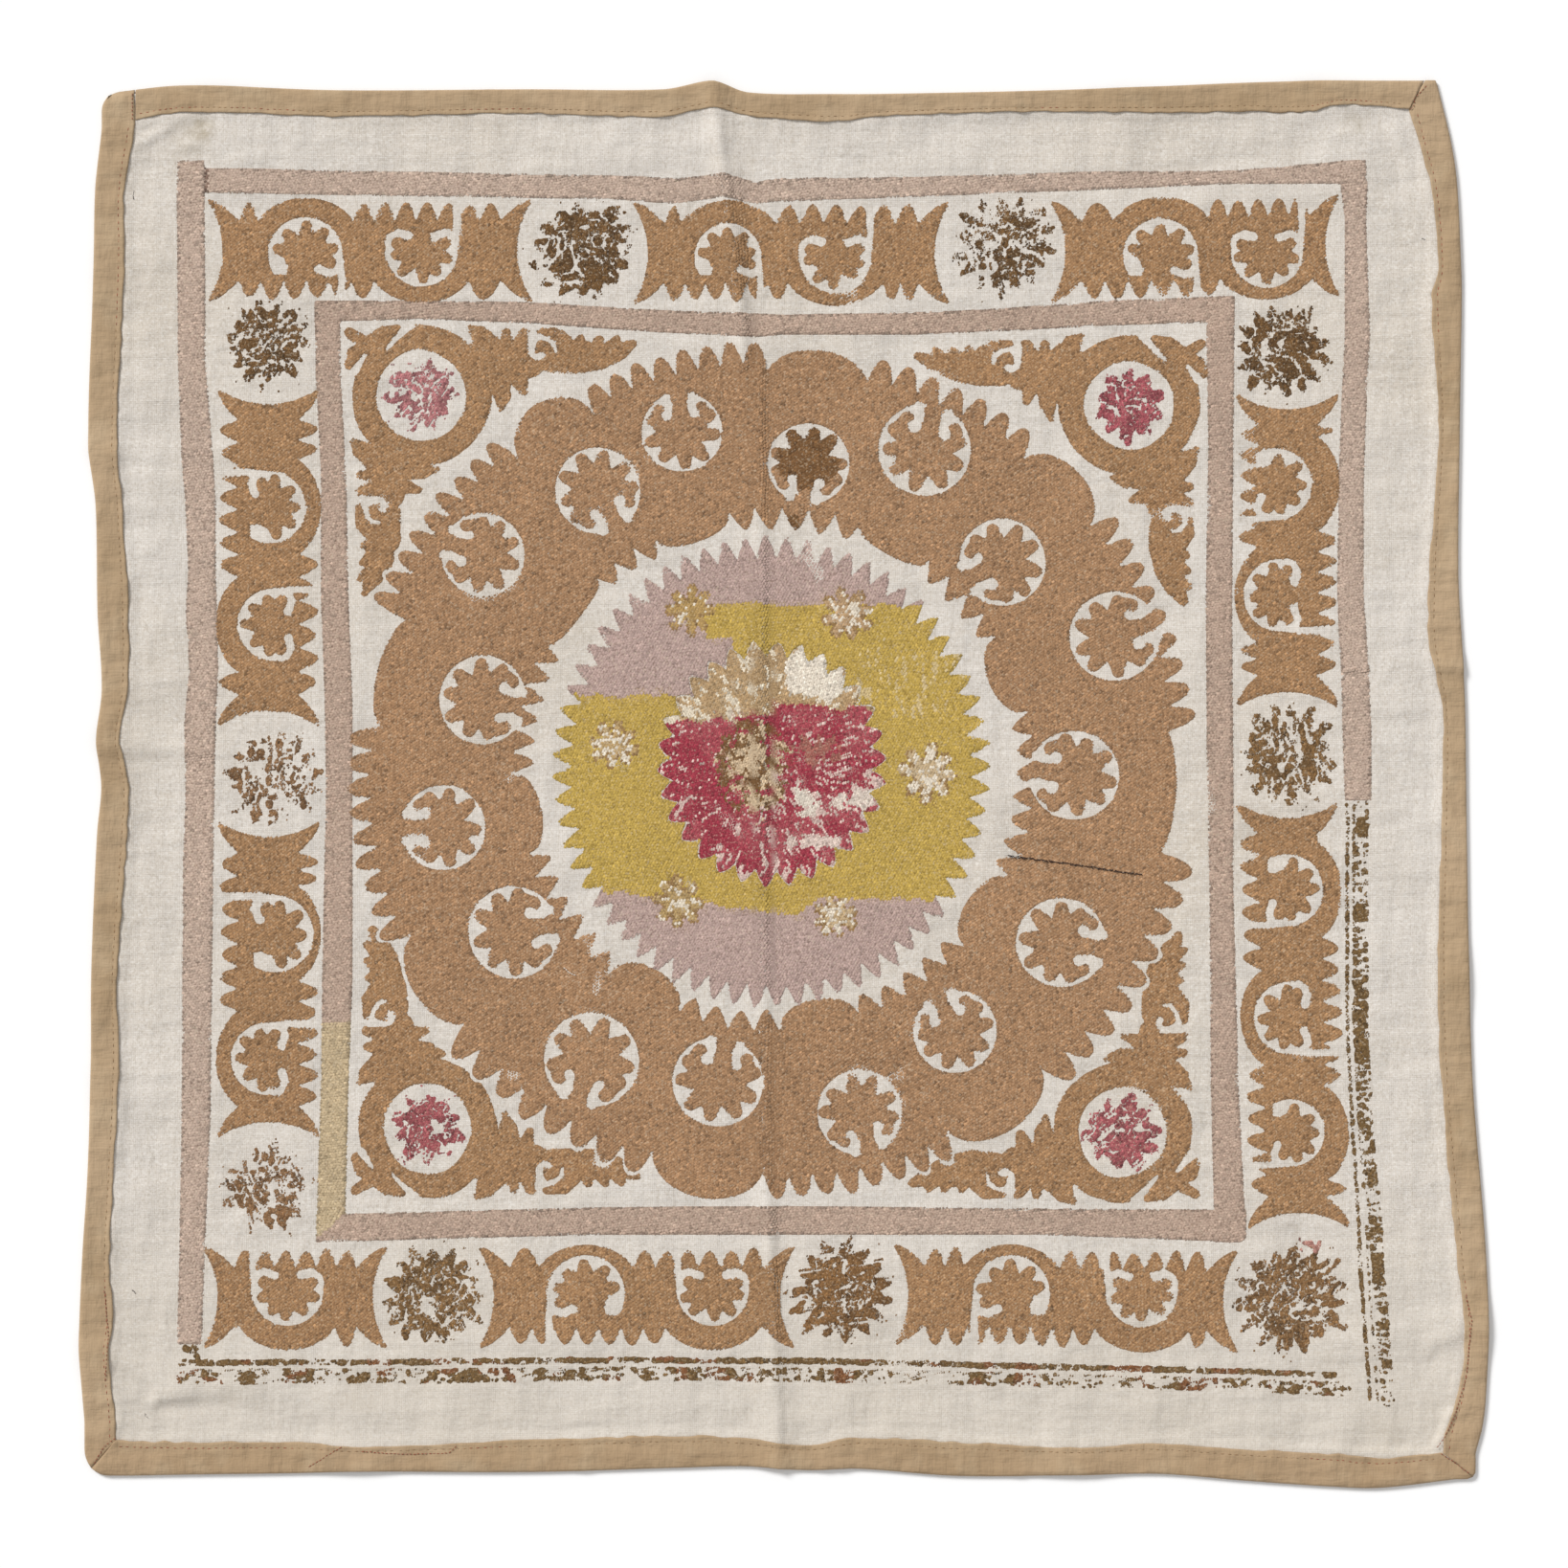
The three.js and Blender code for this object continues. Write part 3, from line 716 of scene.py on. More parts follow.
# Eyes of the wreath: a white round with a palmette, whose neck points down in its own frame
LOBES = (0, 39, -39, 78, -78, 113, -113)
PETAL_RADII = (0.17, 0.205, 0.155)
NECK_HALF = 0.2
EYE_REACH = 1.3


def petal(u, v, degrees, reach):
    """One pointed petal from the middle of a round."""
    turn = math.radians(degrees)
    points = [(share * math.sin(turn), share * math.cos(turn)) for share in (0.2, 0.58, reach)]
    return strand(u, v, points, PETAL_RADII)


def palmette_eye(x, y, radius, seed):
    draw = np.random.default_rng(seed)
    u = x / radius
    v = y / radius * draw.uniform(0.97, 1.03)
    palmette = disc(u, v, 0.53)
    for degrees in LOBES:
        palmette = np.maximum(palmette, petal(u, v, degrees + draw.uniform(-4, 4), draw.uniform(0.76, 0.83)))
    palmette = np.maximum(palmette, limb(u, v, (0, -0.2), (0, -1.3), 0.27, NECK_HALF))
    for side in (-1, 1):
        curl = [(0.36 * side, -0.12), (0.6 * side, -0.36), (0.53 * side, draw.uniform(-0.62, -0.56))]
        palmette = np.maximum(palmette, strand(u, v, curl, (0.19, 0.2, 0.16)))
    white = np.minimum(disc(u, v, 1), -palmette)
    for side in (-1, 1):
        white = np.maximum(white, disc(u - 0.34 * side, v + 0.45, draw.uniform(0.09, 0.14)))
        lip = [(0.34 * side, -0.92), (0.26 * side, -0.74), (0.3 * side, -0.48)]
        white = np.maximum(white, strand(u, v, lip, (0.07, 0.08, 0.08)))
    return white * radius


def add_eye(layer, middle, radius, neck, seed):
    def shape(x, y):
        u, v = turned(x, y, middle, neck + 90)
        return palmette_eye(u, v, radius, seed)
    layer.cut(around(middle, radius * EYE_REACH), shape)


# Wreath: a ring with smooth arcs and runs of teeth on both rims
WREATH_MIDDLE = (-8.4, 11.1)
WREATH_REACH = 360
OUTER_ARCS = table("start end peak", [
    (116.7, 129.4, 342), (157.7, 173.8, 320), (204.5, 219.5, 331), (252.3, 268.7, 340),
    (295.6, 312.0, 338), (347.9, 365.6, 316), (397.6, 411.3, 334), (436.4, 450.9, 331),
])
OUTER_TEETH = (9, 9, 8, 8, 9, 9, 7, 8)
OUTER_ARC_FOOT = 309.0
OUTER_VALLEYS = (322, 316, 317, 318, 318, 314, 316, 318)
OUTER_TOOTH = 18.0
INNER_ARCS = table("start end peak", [
    (100.0, 117.0, 188), (133.0, 151.0, 193), (181.0, 199.0, 184), (231.0, 248.5, 181),
    (271.5, 289.0, 182), (317.5, 335.5, 183), (373.0, 391.0, 182), (413.5, 430.5, 191),
])
INNER_TOOTH_PITCH = 19.5
INNER_ARC_FOOT = 201.0
INNER_VALLEY = 205.5
INNER_TOOTH = 17.0
RIM_UNEVEN = 0.16
EYES = table("middle radius neck", [
    ((19, 251), 32, -99), ((-80, 276), 31.5, 95), ((-146, 230), 33, -62), ((-236, 180), 32, 160),
    ((-236, 66), 34.5, -10), ((-267, -34), 33, 180), ((-212, -116), 36, 12), ((-151, -216), 37, -109),
    ((-52, -233), 35.5, 78), ((59, -257), 33, -75), ((134, -194), 32.5, 116), ((217, -124), 34.5, -9),
    ((227, 7), 34.5, 172), ((259, 116), 34.5, 20), ((171, 174), 34, 206), ((110, 262), 36, 76),
])

# Brown places of the wreath: middle, half width, and height as a share of the width
BROWN_SPOTS = [((19, 256), 25, 1.0), ((7, 203), 5, 1 / 0.6)]


def rim_radius(degrees, arcs, counts, foot, valleys, tooth, power, lean):
    """Radius of one rim of the wreath at each angle; tooth below 0 points inwards."""
    radius = np.full_like(degrees, float(valleys[0]))
    for i, arc in enumerate(arcs):
        at = np.mod(degrees - arc["start"], 360) + arc["start"]
        half = (arc["end"] - arc["start"]) / 2
        share = np.clip(1 - ((at - arc["start"]) / half - 1) ** 2, 0, 1)
        bulge = foot + (arc["peak"] - foot) * np.sqrt(share)
        radius = np.where(at <= arc["end"], bulge, radius)
        gap_end = arcs[(i + 1) % len(arcs)]["start"]
        gap = np.mod(gap_end - arc["end"], 360)
        t = (at - arc["end"]) / gap
        here = (t > 0) & (t < 1)
        uneven = 1 + RIM_UNEVEN * soft_noise(t * counts[i] + 40 * i, t * 0 + 3 * i, 1.0, 61)
        reach = valleys[i] + tooth * teeth(t * counts[i], power, lean) * uneven
        radius = np.where(here, reach, radius)
    return radius


def inner_counts():
    counts = []
    for i, arc in enumerate(INNER_ARCS):
        gap = np.mod(INNER_ARCS[(i + 1) % len(INNER_ARCS)]["start"] - arc["end"], 360)
        counts.append(round(math.radians(gap) * INNER_VALLEY / INNER_TOOTH_PITCH))
    return counts


def wreath_ring(x, y):
    from_x = x - WREATH_MIDDLE[0]
    from_y = y - WREATH_MIDDLE[1]
    degrees = np.degrees(np.arctan2(from_y, from_x))
    radius = np.hypot(from_x, from_y)
    outer = rim_radius(
        degrees, OUTER_ARCS, OUTER_TEETH, OUTER_ARC_FOOT, OUTER_VALLEYS, OUTER_TOOTH, 2.5, 1.2)
    inner = rim_radius(
        degrees, INNER_ARCS, inner_counts(), INNER_ARC_FOOT, [INNER_VALLEY] * 8, -INNER_TOOTH, 1.5, 0.8)
    return np.minimum(outer - radius, radius - inner)


def lay_wreath(layer):
    layer.add(around(WREATH_MIDDLE, WREATH_REACH), wreath_ring, TAN)
    for i, eye in enumerate(EYES):
        add_eye(layer, eye["middle"], eye["radius"], eye["neck"], 100 + i)
    for (middle_x, middle_y), radius, height in BROWN_SPOTS:
        brown = lambda x, y: disc(x - middle_x, (y - middle_y) / height, radius)
        layer.tint(around((middle_x, middle_y), radius * height + 8), brown, ROSETTE_BROWN)


# Border: bars with horns, arches over their rosettes and teeth between
BAR_TIP = 38.5
BAR_VALLEY = 23.5
BAR_PITCH = 17.3
ARCH_HALF = 37.0
ARCH_FOOT = 23.0
ARCH_PEAK = 41.5
HORN_LENGTH = 26.0
END_RADIUS = 69.0
END_REACH = 13.0
DIRECTIONS = {"right": (1, 0), "left": (-1, 0), "up": (0, 1), "down": (0, -1)}
ROSETTE_LOBES = (-80, -41, 0, 40, 78)
HOOKED = ("up", "right")
BARS = table("run from to middle slit rosettes", [
    ("x", -440, -209, (418, 418), "right", [((-375, 415), 29, "down"), ((-284, 418), 28, "up")]),
    ("x", -107, 118, (416, 416), "right", [((-44, 413), 26, "down"), ((40, 413), 28, "up")]),
    ("x", 220, 424, (417, 422), "right", [((295, 414), 29, "down"), ((378, 417), 28, "up")]),
    ("x", -444, -322, (-402, -402), "left", [((-389, -396), 28, "up")]),
    ("x", -228, -3, (-402, -402), "left", [((-155, -399), 30, "down"), ((-56, -396), 28, "up")]),
    ("x", 97, 344, (-400, -405), "left", [((178, -399), 30, "down"), ((280, -397), 28, "up")]),
    ("y", 57, 298, (-404, -404), "up", [((-403, 217), 28, "left"), ((-400, 125), 28, "right")]),
    ("y", -265, -41, (-404, -404), "up", [((-399, -117), 30, "left"), ((-405, -215), 28, "right")]),
    ("y", 72, 294, (394, 394), "down", [((385, 235), 28, "left"), ((388, 148), 28, "right")]),
    ("y", -336, -26, (403, 394), "down", [
        ((394, -83), 28, "left"), ((396, -183), 28, "right"), ((397, -273), 26, "left")]),
])
LEAST_TEETH = 8.0
BORDER_HALF = 55.0
BORDER_ENDS = 20.0
SLIT_REACH = 1.7


def bar_rim(along, start, end, arches, draw):
    """Distance of one long rim of a bar from its middle line."""
    start = start - END_REACH
    end = end + END_REACH
    rim = np.full_like(along, BAR_VALLEY)
    lean = draw.uniform(0.8, 1.25)
    from_start = (along - start) / HORN_LENGTH
    from_end = (end - along) / HORN_LENGTH
    for share in (from_start, from_end):
        horn = BAR_VALLEY + (BAR_TIP + 2 - BAR_VALLEY) * (1 - np.clip(share, 0, 1) ** 1.8)
        rim = np.where(share < 1, np.maximum(rim, horn), rim)
    marks = [start + HORN_LENGTH]
    for middle in sorted(arches):
        share = np.clip(1 - ((along - middle) / ARCH_HALF) ** 2, 0, 1)
        arch = ARCH_FOOT + (ARCH_PEAK - ARCH_FOOT) * share ** 0.7
        rim = np.where(np.abs(along - middle) < ARCH_HALF, arch, rim)
        marks += [middle - ARCH_HALF, middle + ARCH_HALF]
    marks.append(end - HORN_LENGTH)
    for first, last in zip(marks[0::2], marks[1::2]):
        if last - first < LEAST_TEETH:
            continue
        count = max(1, round((last - first) / BAR_PITCH))
        t = (along - first) / (last - first) * count
        tips = draw.uniform(0.86, 1.06, count + 1)
        height = tips[np.clip(t, 0, count).astype(int)] * (BAR_TIP - BAR_VALLEY)
        rim = np.where((t > 0) & (t < count), BAR_VALLEY + height * teeth(t, 2.0, lean), rim)
    return rim


def bar_shape(bar, seed):
    over = "up" if bar["run"] == "x" else "right"
    index = 0 if bar["run"] == "x" else 1
    upper = [middle[index] for middle, radius, neck in bar["rosettes"] if neck != over]
    lower = [middle[index] for middle, radius, neck in bar["rosettes"] if neck == over]

    def shape(x, y):
        along, across = (x, y) if bar["run"] == "x" else (y, x)
        share = (along - bar["from"]) / (bar["to"] - bar["from"])
        across = across - bar["middle"][0] - (bar["middle"][1] - bar["middle"][0]) * share
        draw = np.random.default_rng(seed)
        above = bar_rim(along, bar["from"], bar["to"], upper, draw) - across
        below = bar_rim(along, bar["from"], bar["to"], lower, draw) + across
        body = np.minimum(above, below)
        for waist, side in ((bar["from"], -1), (bar["to"], 1)):
            body = np.minimum(body, -disc(along - waist - side * END_RADIUS, across, END_RADIUS))
            body = np.minimum(body, END_REACH + 3 - side * (along - waist))
        return body
    return shape


def rosette_white(x, y, radius, hooked, seed):
    """White of a border rosette whose neck points down and whose slit runs out at the right."""
    draw = np.random.default_rng(seed)
    u = x / radius
    v = y / radius
    palmette = disc(u + 0.04, v, 0.55)
    for degrees in ROSETTE_LOBES:
        palmette = np.maximum(palmette, petal(u, v, degrees + draw.uniform(-5, 5), draw.uniform(0.7, 0.8)))
    palmette = np.maximum(palmette, limb(u, v, (0.45, -0.1), (0.66, -0.22), 0.2, 0.18))
    if hooked:
        palmette = np.maximum(palmette, limb(u, v, (-0.45, -0.1), (-0.68, -0.2), 0.2, 0.18))
        palmette = np.maximum(palmette, -0.5 - v)
    else:
        palmette = np.maximum(palmette, limb(u, v, (0.0, -0.5), (0.1, -1.4), 0.5, 0.66))
        palmette = np.maximum(palmette, -0.54 - v)
    white = np.minimum(disc(u, v, 1), -palmette)
    slit = strand(u, v, [(0.94, -0.1), (0.98, -0.6), (0.96, -1.7)], (0.07, 0.08, 0.11))
    hook = strand(u, v, [(0.92, -0.4), (0.66, -0.52), (0.36, -0.4)], (0.09, 0.09, 0.11))
    white = np.maximum(white, np.maximum(slit, hook))
    if hooked:
        way = [(-0.97, -0.2), (-0.9, -0.4), (-0.64, -0.52), (-0.38, -0.42)]
        white = np.maximum(white, strand(u, v, way, (0.06, 0.06, 0.08, 0.12)))
    return white * radius


def lay_border(layer):
    for i, bar in enumerate(BARS):
        low = bar["from"] - BORDER_ENDS
        high = bar["to"] + BORDER_ENDS
        side = bar["middle"][0]
        box = (low, side - BORDER_HALF, high, side + BORDER_HALF)
        if bar["run"] == "y":
            box = (side - BORDER_HALF, low, side + BORDER_HALF, high)
        layer.add(box, bar_shape(bar, 200 + i), BORDER_TAN)
        right = DIRECTIONS[bar["slit"]]
        for j, (middle, radius, neck) in enumerate(bar["rosettes"]):
            down = DIRECTIONS[neck]

            def shape(x, y):
                from_x = x - middle[0]
                from_y = y - middle[1]
                u = from_x * right[0] + from_y * right[1]
                v = -from_x * down[0] - from_y * down[1]
                return rosette_white(u, v, radius, neck in HOOKED, 300 + 10 * i + j)
            layer.cut(around(middle, radius * SLIT_REACH), shape)


# Corner sprays: a ring with two mirrored arms and a bud, drawn for the upper left corner
SPRAYS = table("middle flip", [
    ((-284, 305), (1, 1)), ((270, 297), (-1, 1)), ((-279, -269), (1, -1)), ((265, -273), (-1, -1)),
])
RING_HOLE = 34.5
RING_RADIUS = 55.0
WREATH_CLEARANCE = 2.6
SPRAY_REACH = 185.0
SPRAY_WANDER = 1.6
SPRAY_WANDER_CELL = 26.0
SECOND_ARM_STRETCH = 1.06
SECOND_ARM_SHIFT = 4.0
SECOND_ARM_BEND = (-160.0, -95.0)
# Leaves and teeth of the arms and of the bud: points and the radius at each
ARM_LEAVES = [
    ([(40, 26), (84, 23)], (15, 11)),
    ([(60, 31), (46, 46), (38, 53)], (11, 8, 3)),
    ([(67, 31), (67, 48)], (7.5, 4)),
    ([(75, 32), (81, 47)], (8, 5.5)),
    ([(61, 16), (63, 0), (61, -12)], (11, 7.5, 2.5)),
    ([(75, 18), (80, 2)], (9, 3.5)),
    ([(84, 24), (100, 27), (119, 29), (138, 30), (152, 33), (164, 38.5)], (6, 11.5, 14.5, 12, 8.5, 4)),
    ([(101, 28), (113, 39), (107, 46), (94, 48)], (9, 8.5, 6.5, 4.2)),
    ([(96, 35), (97, 37.5)], (7, 7)),
    ([(120, 33), (126, 44)], (6, 3.4)),
    ([(132, 34), (139, 43.5)], (6, 3.4)),
    ([(144, 35), (152, 43.5)], (6, 3.4)),
]
BUD_LEAVES = [
    ([(-34, 33), (-42, 40)], (9, 7)),
    ([(-40, 42), (-31, 47.5), (-20.5, 51)], (6, 7, 4.2)),
    ([(-40, 38), (-56.5, 49)], (6, 4.2)),
    ([(-42, 36), (-53, 33), (-56.5, 24)], (7, 6, 4.8)),
]
# White curl and blob of an arm, and white slits beside the bud
ARM_WHITES = [
    ([(89, 45.5), (99, 43.5), (104.8, 39.5), (106, 33.4)], (2.0, 1.4, 1.5, 1.1)),
    ([(87, 47), (86, 39), (86.5, 31.5), (91, 28.8), (94, 30.5)], (3, 2, 1.8, 2.2, 2.6)),
]
BUD_WHITES = [
    ([(-10, 54), (-27.5, 36)], (3.2, 1.1)),
    ([(-52.5, 19.5), (-44.5, 31)], (3.2, 1.1)),
]


def strands(x, y, rows):
    """Several strands in one shape."""
    shape = np.full_like(x, -FAR)
    for points, radii in rows:
        shape = np.maximum(shape, strand(x, y, points, radii))
    return shape


def arm_shape(x, y):
    return np.minimum(strands(x, y, ARM_LEAVES), -strands(x, y, ARM_WHITES))


def spray_shape(x, y):
    """A spray: its ring and bud, one arm to the right and one, a little shorter, downwards."""
    along = -y * SECOND_ARM_STRETCH
    second = arm_shape(along, -x - SECOND_ARM_SHIFT * fade(-along, *SECOND_ARM_BEND))
    arms = np.maximum(arm_shape(x, y), second)
    ring = np.maximum(np.maximum(disc(x, y, RING_RADIUS), arms), strands(x, y, BUD_LEAVES))
    white = np.maximum(strands(x, y, BUD_WHITES), disc(x, y, RING_HOLE))
    return np.minimum(ring, -white)


def lay_sprays(layer):
    for spray in SPRAYS:
        middle = spray["middle"]
        flip = spray["flip"]

        def shape(x, y):
            u = x - middle[0] + SPRAY_WANDER * soft_noise(x, y, SPRAY_WANDER_CELL, 71)
            v = y - middle[1] + SPRAY_WANDER * soft_noise(x, y, SPRAY_WANDER_CELL, 72)
            spray = spray_shape(u * flip[0], v * flip[1])
            return np.minimum(spray, -wreath_ring(x, y) - WREATH_CLEARANCE)
        layer.add(around(middle, SPRAY_REACH), shape, BORDER_TAN)


# Bands: each is read between two edges along its run
def band_edges(rows):
    at, first, last = np.array(rows, dtype=float).T
    order = np.argsort(at)
    return {"at": at[order], "first": first[order], "last": last[order]}


def band_shape(edges, run, start, end):
    def shape(x, y):
        along, across = (x, y) if run == "x" else (y, x)
        first = np.interp(along, edges["at"], edges["first"])
        last = np.interp(along, edges["at"], edges["last"])
        low = np.minimum(first, last)
        high = np.maximum(first, last)
        ends = np.minimum(along - start, end - along)
        return np.minimum(np.minimum(across - low, high - across), ends)
    return shape


OUTER_LEFT = band_edges([
    (490, -476, -454), (330, -475, -453), (255, -472, -447), (217, -469, -445), (165, -467, -445),
    (135, -469, -444), (90, -466, -443), (48, -470, -445), (-8, -469, -446), (-60, -471, -447),
    (-255, -472, -449), (-375, -474, -454), (-439, -476, -456)])
OUTER_TOP = band_edges([
    (-454, 483, 463), (-134, 477, 458), (-82, 475, 454), (-48, 479, 460), (-22, 472, 454),
    (-7, 475, 456), (106, 476, 460), (235, 480, 465), (352, 481, 470), (456, 490, 470)])
OUTER_RIGHT = band_edges([
    (465, 436, 457), (442, 439, 456), (352, 439, 459), (315, 437, 457), (240, 434, 454),
    (150, 433, 454), (120, 434, 456), (90, 436, 458), (45, 437, 460), (-13, 439, 460)])
INNER_LEFT = band_edges([
    (379, -368, -348), (321, -367, -347), (242, -363, -343), (144, -363, -341), (66, -360, -338),
    (0, -359, -338), (-155, -362, -338), (-234, -363, -341), (-359, -367, -344)])
INNER_RIGHT = band_edges([
    (383, 330, 353), (262, 332, 352), (144, 330, 351), (0, 331, 352), (-77, 333, 352),
    (-234, 334, 356), (-359, 337, 362)])
INNER_TOP = band_edges([
    (-368, 379, 362), (-281, 379, 364), (-203, 378, 361), (-104, 372, 354), (-22, 369, 350),
    (-1, 368, 352), (106, 370, 352), (156, 372, 354), (196, 375, 356), (250, 379, 359), (353, 383, 362)])
INNER_BOTTOM = band_edges([
    (-367, -337, -359), (-261, -334, -356), (-143, -331, -353), (1, -330, -353), (196, -332, -353),
    (362, -333, -359)])
OUTER_BANDS = [
    (OUTER_LEFT, "y", -439, 489), (OUTER_TOP, "x", -454.5, 456), (OUTER_RIGHT, "y", -13, 472),
]
INNER_BANDS = [
    (INNER_LEFT, "y", -359, 379), (INNER_RIGHT, "y", -359, 382), (INNER_TOP, "x", -368, 353),
    (INNER_BOTTOM, "x", -367, 362),
]
FADED_FROM = -185.0
FADED_TO = -354.0
FADED_EDGE = -364.5
FADED_RIGHT = -330.0
BAND_SEAM = -453.2
BAND_SEAM_HALF = 1.2


def lay_bands(layer):
    everywhere = around((0, 0), GRID_REACH)
    for bands, colour in ((OUTER_BANDS, MAUVE), (INNER_BANDS, INNER_MAUVE)):
        for band in bands:
            layer.add(everywhere, band_shape(*band), colour)
    seam = lambda x, y: BAND_SEAM_HALF - np.abs(x - BAND_SEAM)
    layer.tint((-460, 455, -446, 490), seam, linear(138, 112, 98))
    mitre = lambda x, y: y - FADED_TO - 0.9 * (x - FADED_EDGE)
    faded = lambda x, y: np.minimum(np.minimum(FADED_FROM - y, mitre(x, y)), FADED_RIGHT - x)
    layer.tint((-375, -362, -330, -180), faded, FADED_YELLOW)


# Medallion: toothed oval of mauve and yellow with worn stars, and the rosette at its middle
MEDALLION_MIDDLE = (-10.0, 10.0)
MEDALLION_REACH = 200
MEDALLION_WIDE = 172.0
MEDALLION_HIGH = 185.0
MEDALLION_TEETH = 64
MEDALLION_TOOTH = 16.0
ROSETTE_MIDDLE = (-10.0, 16.0)
ROSETTE_REACH = 112
ROSETTE_WIDE = 90.0
ROSETTE_HIGH = 96.0
ROSETTE_TEETH = 30
ROSETTE_TOOTH = 12.0
# Yellow part: its upper edge, its left edges over and under a step, and its lower edge
YELLOW_TOP = 141.0
YELLOW_LEFT_TOP = 69.0
YELLOW_STEP = 114.0
YELLOW_LEFT = (-62, -41)
RUBBED_MIDDLE = (98, 88)
RUBBED_REACH = 36
STAR_REACH = 28
STAR_POINTS = 8
STAR_RIM = 1.3
LOWER_LINE_X = (-175, -147, -101, -29, 10, 28, 134, 170)
LOWER_LINE_Y = (-82, -83, -89, -98, -104, -88, -90, -91)
STARS = table("middle radius kept colour", [
    ((-73, 136), 19, 0.35, linear(190, 156, 98)), ((49, 133), 20, 0.25, linear(192, 158, 118)),
    ((-133, 31), 19, 0.0, linear(196, 164, 112)), ((112, 8), 22, -0.1, linear(206, 180, 140)),
    ((-84, -92), 20, 0.3, linear(188, 158, 106)), ((40, -103), 17, -0.1, linear(204, 176, 134)),
])


def toothed_oval(x, y, middle, wide, high, count, tooth, seed):
    from_x = (x - middle[0]) / wide
    from_y = (y - middle[1]) / high
    t = np.arctan2(from_y, from_x) / (2 * math.pi) * count + 0.25
    uneven = 1 + 0.12 * soft_noise(t * 3, t * 0, 1.0, seed)
    rim = 1 - (1 - teeth(t, 1.35) * uneven) * tooth / wide
    return (rim - np.hypot(from_x, from_y)) * wide


def medallion_shape(x, y):
    return toothed_oval(
        x, y, MEDALLION_MIDDLE, MEDALLION_WIDE, MEDALLION_HIGH, MEDALLION_TEETH, MEDALLION_TOOTH, 81)


def rosette_shape(x, y):
    return toothed_oval(x, y, ROSETTE_MIDDLE, ROSETTE_WIDE, ROSETTE_HIGH, ROSETTE_TEETH, ROSETTE_TOOTH, 82)


def yellow_part(x, y):
    """Where the medallion is yellow: above 0."""
    edge = 2.2 * soft_noise(x, y, 9, 83)
    below_top = YELLOW_TOP + edge - y
    left_top = YELLOW_LEFT_TOP + edge - y
    limit = np.where(y > YELLOW_STEP, *YELLOW_LEFT) + edge
    right = np.minimum(below_top, x - limit)
    upper = np.maximum(right, left_top)
    lower = y - np.interp(x, LOWER_LINE_X, LOWER_LINE_Y) + edge
    return np.minimum(upper, lower)


def star_shape(x, y, radius, count, seed):
    draw = np.random.default_rng(seed)
    shape = disc(x, y, radius * 0.46)
    first = draw.uniform(0, 360)
    for i in range(count):
        turn = math.radians(first + 360 / count * (i + draw.uniform(-0.12, 0.12)))
        reach = radius * draw.uniform(0.76, 0.9)
        tip = (reach * math.cos(turn), reach * math.sin(turn))
        shape = np.maximum(shape, limb(x, y, (0, 0), tip, radius * 0.2, radius * 0.22))
    return shape


def streaks(x, y, degrees, narrow, stretch, seed):
    """Long narrow noise that runs towards an angle."""
    turn = np.radians(degrees)
    u = x * np.cos(turn) + y * np.sin(turn)
    v = y * np.cos(turn) - x * np.sin(turn)
    return soft_noise(v, u / stretch, narrow, seed)


def radial_ticks(x, y, seed):
    """Short strokes that run out from the middle of the rosette."""
    from_x = x - ROSETTE_MIDDLE[0]
    from_y = y - ROSETTE_MIDDLE[1]
    turn = np.arctan2(from_y, from_x) * 55 + 4 * soft_noise(x, y, 14, seed + 1)
    return soft_noise(turn, np.hypot(from_x, from_y) / 5.5, 1.5, seed)


def lay_medallion(layer):
    everywhere = around(MEDALLION_MIDDLE, MEDALLION_REACH)
    layer.add(everywhere, medallion_shape, MEDALLION_MAUVE)
    layer.tint(everywhere, yellow_part, YELLOW)
    patch = lambda x, y: disc((x - RUBBED_MIDDLE[0]) / 1.2, y - RUBBED_MIDDLE[1], RUBBED_REACH)
    worn_rows = lambda x, y: np.minimum(patch(x, y), streaks(x, y, 98, 2.0, 5, 88) - 0.5)
    layer.tint(everywhere, lambda x, y: np.minimum(worn_rows(x, y), yellow_part(x, y)), linear(216, 192, 140))
    for i, star in enumerate(STARS):
        middle = star["middle"]
        shape = lambda x, y: star_shape(x - middle[0], y - middle[1], star["radius"], STAR_POINTS, 90 + i)
        layer.tint(around(middle, STAR_REACH), shape, linear(158, 124, 80))
        layer.tint(around(middle, STAR_REACH), lambda x, y: shape(x, y) - STAR_RIM, star["colour"])
        worn = lambda x, y: np.minimum(shape(x, y) - 1.0, soft_noise(x, y, 2.6, 95 + i) - star["kept"])
        layer.tint(around(middle, STAR_REACH), worn, linear(238, 226, 206))
    layer.cut(everywhere, rosette_shape)


# Rosette: upper edge of its red part, its pale upper part, its knotted core and worn spots
RED_LIMIT_X = (-100, -60, -20, 0, 60, 90)
RED_LIMIT_Y = (48, 50, 53, 62, 60, 44)
PALE_MIDDLE = (27, 88)
PALE_REACH = 26
CORE_MIDDLE = (-25, 14)
CORE_WIDE = 27
CORE_HIGH = 34
WORN_SPOTS = table("middle wide high colour", [
    ((18, -12), 9, 10, linear(236, 224, 208)), ((58, -12), 15, 7, linear(234, 218, 204)),
    ((26, -46), 22, 5, linear(230, 208, 196)), ((27, 27), 15, 9, linear(172, 108, 96)),
    ((-24, 16), 20, 28, linear(216, 190, 156)),
])


